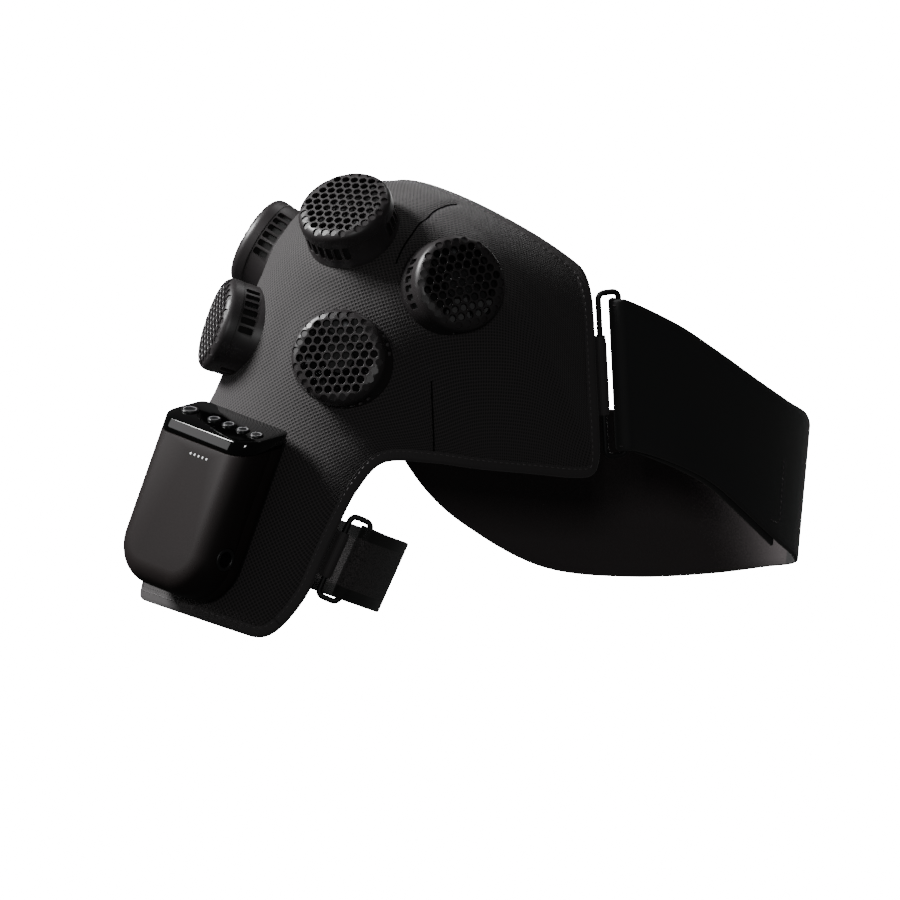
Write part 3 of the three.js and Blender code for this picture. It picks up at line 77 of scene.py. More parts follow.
RIDGE_SHARES = [
    [-0.995, 0.095, -1.38], [-0.927, 0.095, -1.12], [-0.852, 0.084, -0.873], [-0.777, 0.074, -0.617],
    [-0.703, 0.053, -0.362], [-0.629, 0.032, -0.091], [-0.531, 0.011, 0.244], [-0.391, 0, 0.659],
    [-0.203, 0, 0.902], [-0.086, 0, 0.976], [-0.016, 0, 0.99], [0.031, 0, 0.998],
    [0.086, 0, 1.0], [0.148, 0, 0.998], [0.211, 0, 0.984], [0.27, 0, 0.963],
]
FRONT_EDGE_SHARES = [
    [-0.82, -0.475, -1.505], [-0.742, -0.505, -1.25], [-0.668, -0.526, -1.006], [-0.594, -0.553, -0.78],
    [-0.516, -0.584, -0.573], [-0.414, -0.637, -0.421], [-0.242, -0.737, -0.451], [-0.055, -0.842, -0.524],
    [0.18, -0.926, -0.61], [0.344, -0.979, -0.671], [0.433, -1.0, -0.677], [0.472, -1.0, -0.585],
    [0.478, -0.989, -0.366], [0.478, -0.968, -0.061], [0.494, -0.926, 0.244], [0.53, -0.845, 0.53],
]
BACK_EDGE_DEPTH_SHARES = [0.7, 0.705, 0.7, 0.7, 0.695, 0.705, 0.758, 0.842]
BACK_EDGE_DEPTH_SHARES += [0.926, 0.979, 1.0, 1.0, 0.989, 0.968, 0.926, 0.842]
ARRIVAL_SHARES = [
    [0.68, -0.67, -0.3], [0.69, -0.65, -0.31], [0.71, -0.63, -0.32], [0.73, -0.6, -0.33],
    [0.72, -0.55, -0.43], [0.45, -0.45, -0.77], [0.12, -0.2, -0.97], [0, -0.08, -1],
    [0.1, -0.06, -0.99], [0.22, -0.09, -0.97], [0.31, -0.12, -0.94], [0.35, -0.15, -0.92],
    [0.38, -0.19, -0.91], [0.42, -0.25, -0.87], [0.46, -0.38, -0.8], [0.45, -0.6, -0.66],
]
FULLNESS_SHARES = [[0.35, 0.35]] * 4 + [
    [0.36, 0.36], [0.37, 0.38], [0.38, 0.42], [0.4, 0.46], [0.41, 0.47], [0.42, 0.46],
    [0.43, 0.45], [0.44, 0.44], [0.45, 0.42], [0.44, 0.38], [0.4, 0.34], [0.34, 0.33],
]
# Each pod: place along the ridge, share of the way to the edge, lean, turn in degrees
POD_SHARES = [
    (7.81, 0.06, (0.09, 0), 20), (7.84, -0.53, (0.08, 0.12), 60),
    (5.97, -0.35, (-0.05, 0), 80), (6.04, 0.37, (0.05, -0.1), 30),
    (7.93, 0.43, (0.13, 0.08), 60),
]
CAP_RADIUS = 24 * MM
CAP_RISE = 18.5 * MM
CAP_SKIRT = 6.5 * MM
CAP_WALL = 1.6 * MM
CAP_ROUND = 4.5 * MM
CAP_TUCK = 0.4 * MM  # how far the fabric reaches under the cap's rim
POD_SIDES = 72
PLATE_RADIUS = 21.5 * MM
PLATE_THICK = 2.5 * MM
PLATE_DROP = 8 * MM

PACK_WIDTH = 65 * MM
PACK_HEIGHT = 95 * MM
PACK_DEPTH = 28 * MM
PACK_FRONT_ROUND = 11 * MM
PACK_BACK_ROUND = 4 * MM
PACK_BOTTOM_ROUND = 22 * MM
PACK_WALL = 2 * MM
PACK_SLOPE = math.radians(25)
PACK_PLACE = 2.47
PACK_SHIFT = 3 * MM
PACK_TURN = math.radians(2)
PACK_SEAT = 0.5 * MM + GAP + 2.5 * MM
PANEL_THICK = 6.5 * MM
PANEL_SKIN = 1.8 * MM
REAR_SHELL_DEPTH = 9 * MM
BUTTON_SHARES = [0.75, 0.195, -0.135, -0.455, -0.763]
BUTTON_RADIUS = 3.5 * MM
POWER_BUTTON_RADIUS = 4.6 * MM
BUTTON_PROUD = 0.9 * MM
BUTTON_PLAY = 0.25 * MM
LIGHTS = 5
LIGHT_PITCH = 2.9 * MM
LIGHT_DROP = 6 * MM
LIGHT_RADIUS = 0.68 * MM
LIGHT_HOLE_RADIUS = 0.75 * MM
SOCKET_RADIUS = 4 * MM
SOCKET_DEPTH = 9 * MM
SOCKET_PLAY = 0.15 * MM
SOCKET_RISE = 25 * MM - PACK_HEIGHT / 2

BAR = 3 * MM
RING_REACH = 11 * MM
RING_CORNER = 3.2 * MM
BAR_PLAY = 1.3 * MM
BAR_OFFSET = 4.6 * MM
BAR_DROP = 5 * MM
CHEST_RING_LENGTH = 86 * MM
ARM_RING_LENGTH = 46 * MM
CHEST_RING_PLACE = 12.95
ARM_RING_PLACE = 2.3
KEEPER_THICK = 1.4 * MM
KEEPER_TAIL = 14 * MM
KEEPER_LEAN = math.radians(6)
CHEST_KEEPER_LENGTH = 40 * MM
ARM_KEEPER_LENGTH = 24 * MM
CHEST_STRAP_THICK = 2.4 * MM
CHEST_STRAP_REACH = 197 * MM
CHEST_STRAP_UNIT = 100 * MM
CHEST_WING_PLACES = (14.1, 10.7)
CHEST_TURNBACK_STEPS = 4
WING_OVERLAP = 12 * MM
WING_GAP = 1.2 * MM
LAYER_GAP = 1.2 * MM  # between the chest strap and its turned-back end
PILE_AND_LIGHT_START = -20 * MM  # in depth, where the strap's inner face gets its pile, coloured paler there partly as painted light
CHEST_ANGLES = [-90, -80, -70, -59, -46, -33, -17, 0, 20, 40, 58, 72, 82, 90]
CHEST_TOP_SHARES = [0.31, 0.13, -0.09, -0.32, -0.54, -0.7, -0.89]
CHEST_TOP_SHARES += [-1.0, -1.0, -0.92, -0.77, -0.48, -0.14, 0.26]
CHEST_FOOT_SHARES = [-0.46, -0.6, -0.78, -1.03, -1.28, -1.45, -1.59]
CHEST_FOOT_SHARES += [-1.69, -1.77, -1.78, -1.68, -1.42, -1.13, -0.9]
CHEST_FOOT_LEAN = 9 * MM
CHEST_LEAN = 2 * MM  # how far the strap's looks lie inside its solid, at the top edge
UNDER_DROP = 1.6 * MM
TAB_END = 211 * MM
STRAP_MIDDLE = 78 * MM
CHEST_LEAVE = 18
ARM_STRAP_WIDTH = 38 * MM
ARM_STRAP_THICK = 1.8 * MM
ARM_STRAP_RADIUS = 66 * MM
ARM_STRAP_STEPS = 12
ARM_TURNBACK_STEPS = 2
ARM_LEAVE = 40


# Materials


def linear(code):
    """The shader's colour for an sRGB hex colour."""
    parts = [int(code[i : i + 2], 16) / 255 for i in (1, 3, 5)]
    return (*[c / 12.92 if c <= 0.04045 else ((c + 0.055) / 1.055) ** 2.4 for c in parts], 1)


def add(tree, kind, inputs, **settings):
    """A node with its settings; each input is a value, or the socket that feeds it."""
    made = tree.nodes.new(kind)
    for name, value in settings.items():
        setattr(made, name, value)
    for name, value in inputs.items():
        if isinstance(value, bpy.types.NodeSocket):
            tree.links.new(value, made.inputs[name])
        else:
            made.inputs[name].default_value = value
    return made


def surface(name, colour, roughness, **more):
    """A material and its shader."""
    made = bpy.data.materials.new(name)
    made.use_nodes = True
    shader = made.node_tree.nodes["Principled BSDF"]
    shader.inputs["Base Color"].default_value = linear(colour)
    shader.inputs["Roughness"].default_value = roughness
    for socket, value in more.items():
        shader.inputs[socket.replace("_", " ")].default_value = value
    return made, made.node_tree, shader


def raise_by(tree, shader, height, depth):
    """Feeds a height to the shader as bump of that depth."""
    bump = add(tree, "ShaderNodeBump", {"Strength": 1.0, "Distance": depth, "Height": height})
    tree.links.new(bump.outputs["Normal"], shader.inputs["Normal"])


def tint(tree, shader, factor, low, high):
    """Colours the shader between two hex colours by a factor."""
    mixed = add(tree, "ShaderNodeMix", {0: factor, 6: linear(low), 7: linear(high)}, data_type="RGBA")
    tree.links.new(mixed.outputs[2], shader.inputs["Base Color"])


def grain(tree, size, detail=2.0):
    """Fine random grain of a real size, fixed to the object."""
    place = add(tree, "ShaderNodeTexCoord", {})
    noise = {"Vector": place.outputs["Object"], "Scale": 1 / size, "Detail": detail}
    return add(tree, "ShaderNodeTexNoise", noise).outputs["Fac"]


def stitch_grid(tree, pitch, turn):
    """Distance from the middle of the nearest cell of a square net, in its pitch."""
    cloth = add(tree, "ShaderNodeUVMap", {}, uv_map="cloth")
    spread = {"Vector": cloth.outputs["UV"], "Rotation": (0, 0, turn), "Scale": (1 / pitch,) * 3}
    laid = add(tree, "ShaderNodeMapping", spread)
    cells = {"Vector": laid.outputs["Vector"], "Scale": 1.0, "Randomness": 0.0}
    return add(tree, "ShaderNodeTexVoronoi", cells, voronoi_dimensions="2D").outputs["Distance"]


def net_fabric(name, thread, eyelet_shade, pitch, turn, depth, eyelet_share):
    """Knitted net: matt threads with a shallow pit in each cell, so that it looks finely pitted; the pits
    are coloured near black as painted shade.
    """
    made, tree, shader = surface(name, thread, 0.82, Sheen_Weight=0.12, Sheen_Roughness=0.5)
    distance = stitch_grid(tree, pitch, turn)
    limits = {"Value": distance, "From Min": eyelet_share * 0.6, "From Max": eyelet_share * 1.3}
    raised = add(tree, "ShaderNodeMapRange", limits).outputs["Result"]
    fuzz = grain(tree, 0.4 * MM)
    fuzz = add(tree, "ShaderNodeMath", {0: fuzz, 1: 0.35}, operation="MULTIPLY").outputs[0]
    height = add(tree, "ShaderNodeMath", {0: raised, 1: fuzz}, operation="ADD").outputs[0]
    raise_by(tree, shader, height, depth)
    # Painted shade: the net's pits take the near-black colour, its threads the paler one.
    tint(tree, shader, raised, eyelet_shade, thread)
    return made


def ribbed_tape(name, colour, pitch, depth):
    """Woven tape: close ribs across it, so that it catches light in fine lines."""
    made, tree, shader = surface(name, colour, 0.72, Sheen_Weight=0.1)
    cloth = add(tree, "ShaderNodeUVMap", {}, uv_map="cloth")
    waves = {"Vector": cloth.outputs["UV"], "Scale": WAVE_SCALE / pitch, "Distortion": 0.3, "Detail": 1.0}
    ribs = add(tree, "ShaderNodeTexWave", waves, bands_direction="X").outputs["Fac"]
    raise_by(tree, shader, ribs, depth)
    return made


def bordered_webbing(name, middle, border_and_pit_shade, width, margin):
    """Webbing with a speckled middle and a smooth margin along both edges; the speckle's low spots share
    the margins' near black as painted shade.
    """
    made, tree, shader = surface(name, middle, 0.85, Sheen_Weight=0.1)
    cloth = add(tree, "ShaderNodeUVMap", {}, uv_map="cloth")
    across = add(tree, "ShaderNodeSeparateXYZ", {"Vector": cloth.outputs["UV"]}).outputs["Y"]
    off = add(tree, "ShaderNodeMath", {0: across, 1: width / 2}, operation="SUBTRACT").outputs[0]
    away = add(tree, "ShaderNodeMath", {0: off}, operation="ABSOLUTE").outputs[0]
    limits = {"Value": away, "From Min": width / 2 - margin, "From Max": width / 2 - margin - 0.5 * MM}
    inside = add(tree, "ShaderNodeMapRange", limits).outputs["Result"]
    speckle = grain(tree, 0.7 * MM, 3.0)
    limits = {"Value": speckle, "From Min": 0.35, "From Max": 0.6}
    sharp = add(tree, "ShaderNodeMapRange", limits).outputs["Result"]
    raised = add(tree, "ShaderNodeMath", {0: sharp, 1: inside}, operation="MULTIPLY").outputs[0]
    raise_by(tree, shader, raised, 0.12 * MM)
    # Painted shade: the speckle's low spots share the margins' near black.
    tint(tree, shader, raised, border_and_pit_shade, middle)
    return made


def grained(name, colour, roughness, size, depth, **more):
    """Moulded or finished surface with a fine grain of one real size."""
    made, tree, shader = surface(name, colour, roughness, **more)
    raise_by(tree, shader, grain(tree, size), depth)
    return made


# Spacer mesh, warp knitted over foam: fine staggered holes, coloured near black as painted shade, and a
# soft matt face
BIAS = math.radians(45)
SHELL = net_fabric("polyester_spacer_mesh", "#2f2b2c", "#040404", 1.7 * MM, BIAS, 0.22 * MM, 0.36)
# Brushed tricot: a soft, even nap that shows no weave
LINING = grained("brushed_tricot_lining", "#1c1c1e", 0.95, 0.5 * MM, 0.1 * MM, Sheen_Weight=0.3)
# Grosgrain, woven tape: ribs across it, a little smoother than the mesh
TAPE = ribbed_tape("woven_nylon_grosgrain", "#2b2829", 0.7 * MM, 0.06 * MM)
# Neoprene laminated with jersey: nearly smooth, deep black, with a soft sheen at its edges
NEOPRENE = grained("jersey_faced_neoprene", "#151516", 0.8, 0.35 * MM, 0.05 * MM, Sheen_Weight=0.06)
# Loop pile on the chest strap's inner face: brushed up, and coloured paler than the neoprene partly as
# painted light for the lamp light on the strap's far half
PILE_AND_PAINTED_LIGHT = grained("loop_pile_and_painted_light", "#373233", 0.95, 0.6 * MM, 0.15 * MM, Sheen_Weight=0.04)
# Elastic webbing: a brushed, speckled middle between two smooth margins, the speckle's low spots coloured
# near black as painted shade
ELASTIC = bordered_webbing("woven_elastic_webbing", "#3a3637", "#040404", ARM_STRAP_WIDTH, 6 * MM)
# Polyester thread, twisted: a dull gleam on each stitch
THREAD, _, _ = surface("twisted_polyester_thread", "#4c494a", 0.55)
# Painted shade: the open edge of a seam holds no light, so a near-black cord along each dart draws its
# shade as a thin black line
SEAM_SHADE, _, _ = surface("sewn_seam_shadow", "#020202", 0.95, Specular_IOR_Level=0.1)
# Fine polyester screen against dust, dull black with a tiny weave
SCREEN = grained("woven_dust_screen", "#0a0a0a", 0.9, 0.4 * MM, 0.05 * MM)
# Nylon as moulded: smooth with a broad highlight
NYLON = grained("injection_moulded_nylon", "#0e0e0f", 0.55, 0.8 * MM, 0.01 * MM, Specular_IOR_Level=0.35)
# Spark-eroded ABS: a fine, even grain that spreads the highlight
CAP_ABS = grained("spark_eroded_abs", "#232021", 0.42, 0.25 * MM, 0.018 * MM)
# Soft-touch paint on ABS: dark and velvety, with a wide dim highlight
VELVETY = {"Specular_IOR_Level": 0.1}
SOFT_TOUCH = grained("soft_touch_painted_abs", "#1b1717", 0.58, 0.2 * MM, 0.006 * MM, **VELVETY)
# Polished acrylic-faced ABS: deep black that mirrors the studio
GLOSS = grained("polished_piano_black_abs", "#020202", 0.07, 4 * MM, 0.004 * MM, Specular_IOR_Level=0.4)
# Button caps, moulded and pad-printed: semi-gloss black with pale printed marks
BUTTON = grained("moulded_button_abs", "#121213", 0.3, 0.5 * MM, 0.006 * MM)
PRINT, _, _ = surface("pad_printed_ink", "#9a9a9c", 0.5)
# Frosted polycarbonate, lit from behind: a small soft white glow
WHITE = linear("#ffffff")
GLOW = {"Emission_Color": WHITE, "Emission_Strength": 0.35}
LIGHT, _, _ = surface("frosted_polycarbonate_lit", "#d8dadc", 0.4, **GLOW)
# Glass-filled nylon of the fans: dark with a satin skin
FAN = grained("glass_filled_nylon", "#0e0e0f", 0.5, 0.4 * MM, 0.01 * MM)
# Extruded aluminium, dyed and anodised: matt black fins that stay dark behind the grille
ANODISED = grained("black_anodised_aluminium", "#0c0c0d", 0.55, 0.6 * MM, 0.008 * MM)
# Extruded aluminium, degreased: pale metal, its highlight softened by die lines
ALUMINIUM = grained("extruded_aluminium", "#b4b6b8", 0.38, 0.6 * MM, 0.008 * MM, Metallic=1.0)
CERAMIC, _, _ = surface("ground_alumina_ceramic", "#e4e2dc", 0.55)
BOARD, _, _ = surface("solder_masked_glass_epoxy", "#123a24", 0.4)
SLEEVE, _, _ = surface("shrunk_pvc_sleeve", "#2b5f7d", 0.35)
# Moulded insulator of the socket, dull black
INSULATOR, _, _ = surface("moulded_phenolic", "#0a0a0b", 0.5)
# Plated brass of the socket's pin
PLATED, _, _ = surface("nickel_plated_brass", "#b9b4a6", 0.25, Metallic=1.0)
# Opal acrylic table, lit from beneath: plain white
STUDIO, _, _ = surface("opal_acrylic", "#f6f6f6", 0.8, Emission_Color=WHITE, Emission_Strength=20.0)


# Modelling


def current():
    return bpy.context.view_layer.objects.active


def select_only(*pieces):
    bpy.ops.object.select_all(action="DESELECT")
    for piece in pieces:
        piece.select_set(True)
    bpy.context.view_layer.objects.active = pieces[-1]


def finished(piece, name, material, smooth=35):
    """Names a piece, turns its faces outwards, shades it and gives it its material."""
    piece.name = piece.data.name = name
    piece.data.materials.clear()
    piece.data.materials.append(material)
    select_only(piece)
    bpy.ops.object.mode_set(mode="EDIT")
    bpy.ops.mesh.select_all(action="SELECT")
    bpy.ops.mesh.remove_doubles(threshold=0.001 * MM)
    bpy.ops.mesh.normals_make_consistent(inside=False)
    bpy.ops.object.mode_set(mode="OBJECT")
    bpy.ops.object.shade_smooth_by_angle(angle=math.radians(smooth))
    return piece


def bare_piece(name, points, edges, faces):
    mesh = bpy.data.meshes.new(name)
    mesh.from_pydata([tuple(map(float, p)) for p in points], edges, faces)
    piece = bpy.data.objects.new(name, mesh)
    bpy.context.collection.objects.link(piece)
    return piece


def apply_modifier(piece, kind, **settings):
    select_only(piece)
    made = piece.modifiers.new(kind.lower(), kind)
    for name, value in settings.items():
        setattr(made, name, value)
    bpy.ops.object.modifier_apply(modifier=made.name)


def cut_with(piece, cutter):
    """Takes one piece's shape out of another, and uses the cutter up."""
    apply_modifier(piece, "BOOLEAN", object=cutter, operation="DIFFERENCE", solver="EXACT")
    bpy.data.objects.remove(cutter)


def turned(name, profile, sides, material=None):
    """A piece turned about Z from the outline of its half section, which may be closed."""
    closed = min(r for r, _ in profile) > 0
    count = len(profile)
    edges = [(i, (i + 1) % count) for i in range(count if closed else count - 1)]
    piece = bare_piece(name, [(r, 0, z) for r, z in profile], edges, [])
    merging = {"use_merge_vertices": True, "merge_threshold": 0.001 * MM}
    apply_modifier(piece, "SCREW", steps=sides, render_steps=sides, **merging)
    return finished(piece, name, material or NYLON)


def arc(centre, radius, start, end, steps):
    """Points of an arc in a half section, between two angles in degrees."""
    angles = np.radians(np.linspace(start, end, steps + 1))
    return [(centre[0] + radius * math.cos(a), centre[1] + radius * math.sin(a)) for a in angles]


def copied(piece, matrix):
    """A copy of a piece with a mesh of its own, put in place by a matrix."""
    mesh = piece.data.copy()
    mesh.transform(matrix)
    made = bpy.data.objects.new(piece.name, mesh)
    bpy.context.collection.objects.link(made)
    return made


def gathered(name, piece, matrices):
    """One object that holds a copy of a piece at each place, in the stead of the piece."""
    copies = [copied(piece, matrix) for matrix in matrices]
    select_only(*copies)
    bpy.ops.object.join()
    made = current()
    bpy.data.objects.remove(piece)
    made.name = made.data.name = name
    return made


def bevel_edges(piece, chosen, width, segments):
    """Rounds the edges whose two ends pass a test together."""
    select_only(piece)
    bpy.ops.object.mode_set(mode="EDIT")
    bpy.ops.mesh.select_mode(type="EDGE")
    bpy.ops.mesh.select_all(action="DESELECT")
    shape = bmesh.from_edit_mesh(piece.data)
    for edge in shape.edges:
        edge.select_set(chosen(*(corner.co for corner in edge.verts)))
    bmesh.update_edit_mesh(piece.data)
    bpy.ops.mesh.bevel(offset=width, segments=segments, affect="EDGES")
    bpy.ops.object.mode_set(mode="OBJECT")


def sliced(piece, point, normal):
    """Cuts off what lies beyond a plane, and closes the cut."""
    select_only(piece)
    bpy.ops.object.mode_set(mode="EDIT")
    bpy.ops.mesh.select_all(action="SELECT")
    bpy.ops.mesh.bisect(plane_co=point, plane_no=normal, use_fill=True, clear_outer=True)
    bpy.ops.object.mode_set(mode="OBJECT")


def sheet_piece(name, outer, inner, cloth, material):
    """A sheet between two grids of points, with its cloth coordinates in metres."""
    rows, columns = outer.shape[:2]
    front = np.arange(rows * columns).reshape(rows, columns)
    back = front + rows * columns
    faces = []
    for g in (front, back[:, ::-1]):
        faces.append(np.stack([g[:-1, :-1], g[:-1, 1:], g[1:, 1:], g[1:, :-1]], -1).reshape(-1, 4))
    rims = [(front[0], back[0]), (back[-1], front[-1])]
    rims += [(back[:, 0], front[:, 0]), (front[:, -1], back[:, -1])]
    faces += [np.stack([b[:-1], b[1:], a[1:], a[:-1]], -1) for a, b in rims]
    points = np.concatenate([outer.reshape(-1, 3), inner.reshape(-1, 3)])
    piece = bare_piece(name, points, [], np.concatenate(faces).tolist())
    lay_cloth(piece, np.concatenate([cloth.reshape(-1, 2)] * 2))
    return finished(piece, name, material, CLOTH_SMOOTH)


def hoop_piece(name, sections, cloth, material):
    """An endless band from closed sections, with its cloth coordinates in metres."""
    rows, columns = sections.shape[:2]
    a = np.arange(rows * columns).reshape(rows, columns)
    b = np.roll(a, -1, axis=0)
    faces = np.stack([a, np.roll(a, -1, axis=1), np.roll(b, -1, axis=1), b], -1).reshape(-1, 4)
    piece = bare_piece(name, sections.reshape(-1, 3), [], faces.tolist())
    lay_cloth(piece, cloth.reshape(-1, 2))
    return finished(piece, name, material, CLOTH_SMOOTH)


def lay_cloth(piece, cloth):
    layer = piece.data.uv_layers.new(name="cloth")
    corners = np.empty(len(piece.data.loops), int)
    piece.data.loops.foreach_get("vertex_index", corners)
    layer.data.foreach_set("uv", cloth[corners].ravel())


def tube(name, points, radius, closed, material, sides):
    """A round bar or cord along points."""
    curve = bpy.data.curves.new(name, "CURVE")
    curve.dimensions = "3D"
    curve.bevel_depth = radius
    curve.bevel_resolution = sides
    curve.use_fill_caps = True
    line = curve.splines.new("POLY")
    line.points.add(len(points) - 1)
    for spot, point in zip(line.points, points):
        spot.co = (*point, 1)
    line.use_cyclic_u = closed
    piece = bpy.data.objects.new(name, curve)
    bpy.context.collection.objects.link(piece)
    select_only(piece)
    bpy.ops.object.convert(target="MESH")
    return finished(current(), name, material)


def unit(vectors):
    return vectors / np.linalg.norm(vectors, axis=-1, keepdims=True)


def run_length(points, axis):
    """Length run along one direction of a grid of points, from its start."""
    steps = np.linalg.norm(np.diff(points, axis=axis), axis=-1)
    return np.insert(np.cumsum(steps, axis=axis), 0, 0, axis=axis)


def axes_matrix(x, y, z, point):
    return Matrix([[*row, p] for row, p in zip(np.stack([x, y, z], -1), point)] + [[0, 0, 0, 1]])


STITCH_SIDES = 8
STITCH_LENGTH = 2.4 * MM
STITCH_WIDTH = 0.7 * MM
STITCH_RISE = 0.3 * MM
EDGE_STITCH_PITCH = 3.3 * MM
STRAP_STITCH_PITCH = 3.0 * MM
STITCH_CROWN = 0.62  # its top's share of its foot


def stitches(name, points, ways, normals):
    """Stitches as low loops of thread, one at each point, lying along its way."""
    turn = np.linspace(0, 2 * np.pi, STITCH_SIDES, endpoint=False)
    foot = [np.cos(turn) * STITCH_LENGTH / 2, np.sin(turn) * STITCH_WIDTH / 2, 0 * turn - STITCH_RISE / 2]
    foot = np.stack(foot, -1)
    crown = foot * (STITCH_CROWN, STITCH_CROWN, 0) + (0, 0, STITCH_RISE)
    shape = np.concatenate([foot, crown])
    axes = (ways, np.cross(normals, ways), normals)
    spots = points[:, None] + sum(shape[None, :, k, None] * v[:, None] for k, v in enumerate(axes))
    ring = np.arange(STITCH_SIDES)
    after = np.roll(ring, -1)
    sides = np.stack([ring, after, after + STITCH_SIDES, ring + STITCH_SIDES], -1).tolist()
    one = sides + [(ring + STITCH_SIDES).tolist(), ring[::-1].tolist()]
    faces = [[2 * STITCH_SIDES * k + i for i in face] for k in range(len(points)) for face in one]
    return finished(bare_piece(name, spots.reshape(-1, 3), [], faces), name, THREAD, 60)


def spaced(line, pitch):
    """Where along a line of points equal steps fall: the step's index and share."""
    run = run_length(line, 0)
    return np.interp(np.arange(pitch / 2, run[-1], pitch), run, np.arange(len(line)))


def between(values, places):
    """Values read at fractional places along a list."""
    low = np.minimum(places.astype(int), len(values) - 2)
    share = (places - low)[:, None]
    return values[low] * (1 - share) + values[low + 1] * share


# The wrap's outer face: cubic curves from the ridge to each edge. "along" runs over the ridge's places,
# "across" from -1 at the back edge through 0 on the ridge to 1 at the front edge.

SPREAD = np.array((ARM_REACH, FLAP_DEPTH, NECK_RISE))
RIDGE = np.array(RIDGE_SHARES) * SPREAD
FRONT_EDGE = np.array(FRONT_EDGE_SHARES) * SPREAD
BACK_EDGE = FRONT_EDGE.copy()
BACK_EDGE[:, 1] = np.array(BACK_EDGE_DEPTH_SHARES) * FLAP_DEPTH
ARRIVAL = np.array(ARRIVAL_SHARES)
FULLNESS = np.array(FULLNESS_SHARES)
LAST_PLACE = len(RIDGE) - 1
SLOPE_STEP = 0.01  # in places, for the surface's slopes


def curve_step(p1, p2, m1, m2, t):
    """A cubic step from one point to the next with its slope at both, at shares of the way."""
    start = p1 * (2 * t**3 - 3 * t**2 + 1) + m1 * (t**3 - 2 * t**2 + t)
    return start + p2 * (3 * t**2 - 2 * t**3) + m2 * (t**3 - t**2)


def smooth_read(table, along):
    """Values at places along a table, on a smooth curve through its rows."""
    last = len(table) - 1
    low = np.clip(np.floor(along).astype(int), 0, last - 1)
    t = (np.clip(along, 0, last) - low)[..., None]
    p0, p1, p2, p3 = (table[np.clip(low + k, 0, last)] for k in (-1, 0, 1, 2))
    return curve_step(p1, p2, (p2 - p0) / 2, (p3 - p1) / 2, t)


def wrap_point(along, across):
    along, across = np.broadcast_arrays(np.asarray(along, float), np.asarray(across, float))
    side = np.where(across < 0, 1.0, -1.0)[..., None]
    ridge = smooth_read(RIDGE, along)
    edge = np.where(side > 0, smooth_read(BACK_EDGE, along), smooth_read(FRONT_EDGE, along))
    arrival = unit(smooth_read(ARRIVAL, along))
    arrival[..., 1:2] *= -side
    fullness = smooth_read(FULLNESS, along)
    chord = np.linalg.norm(edge - ridge, axis=-1, keepdims=True)
    leave = ridge + np.concatenate([0 * side, side * fullness[..., :1] * chord, 0 * side], -1)
    arrive = edge - arrival * fullness[..., 1:] * chord
    t = np.abs(across)[..., None]
    s = 1 - t
    return s**3 * ridge + 3 * s * s * t * leave + 3 * s * t * t * arrive + t**3 * edge


def wrap_frame(along, across):
    """Point, ways along and across, and outward normal at places of the wrap."""
    along, across = np.broadcast_arrays(np.asarray(along, float), np.asarray(across, float))
    before, after = np.maximum(along - SLOPE_STEP, 0), np.minimum(along + SLOPE_STEP, LAST_PLACE)
    left, right = np.maximum(across - SLOPE_STEP, -1), np.minimum(across + SLOPE_STEP, 1)
    along_way = (wrap_point(after, across) - wrap_point(before, across)) / (after - before)[..., None]
    across_way = (wrap_point(along, right) - wrap_point(along, left)) / (right - left)[..., None]
    return wrap_point(along, across), along_way, across_way, unit(np.cross(across_way, along_way))


def nearest_place(target, along, across):
    """The places nearest to points, found from places close by."""
    for _ in range(6):
        point, u, v, _ = wrap_frame(along, across)
        off = target - point
        a, b, c = (u * u).sum(-1), (u * v).sum(-1), (v * v).sum(-1)
        p, q = (off * u).sum(-1), (off * v).sum(-1)
        d = a * c - b * b
        along, across = along + (p * c - q * b) / d, across + (q * a - p * b) / d
    return along, across


def corner_shares(along, radius):
    _, along_way, across_way, _ = wrap_frame(along, 1.0)
    return radius / np.linalg.norm(along_way), radius / np.linalg.norm(across_way)


HEM = corner_shares(0.0, HEM_CORNER)
NECK = corner_shares(float(LAST_PLACE), NECK_CORNER)


def long_edge_place(place, side):
    for (size, depth), at, sign in ((HEM, place, 1), (NECK, LAST_PLACE - place, -1)):
        if at < size:
            angle = math.radians(45 + 45 * at / size)
            turned_in = size * (1 - math.cos(angle))
            out = side * (1 - depth * (1 - math.sin(angle)))
            return (turned_in if sign > 0 else LAST_PLACE - turned_in), out
    return place, side


def end_edge_place(across, at_neck):
    size, depth = NECK if at_neck else HEM
    along, out = 0.0, abs(across)
    if out > 1 - depth:
        angle = math.radians(45 * (out - 1 + depth) / depth)
        along = size * (1 - math.cos(angle))
        out = 1 - depth + depth * math.sin(angle)
    return (LAST_PLACE - along if at_neck else along), math.copysign(out, across)


def edge_loop(columns, rows):
    """The edge as places: front edge, neck edge, back edge, hem, with frames at each."""
    loop = [long_edge_place(c, 1) for c in columns[:-1]]
    loop += [end_edge_place(r, True) for r in rows[:0:-1]]
    loop += [long_edge_place(c, -1) for c in columns[:0:-1]]
    loop += [end_edge_place(r, False) for r in rows[:-1]]
    places = np.array(loop)
    point, _, _, normal = wrap_frame(places[:, 0], places[:, 1])
    tangent = unit(np.roll(point, -1, axis=0) - np.roll(point, 1, axis=0))
    return places, point, normal, tangent, unit(np.cross(normal, tangent))


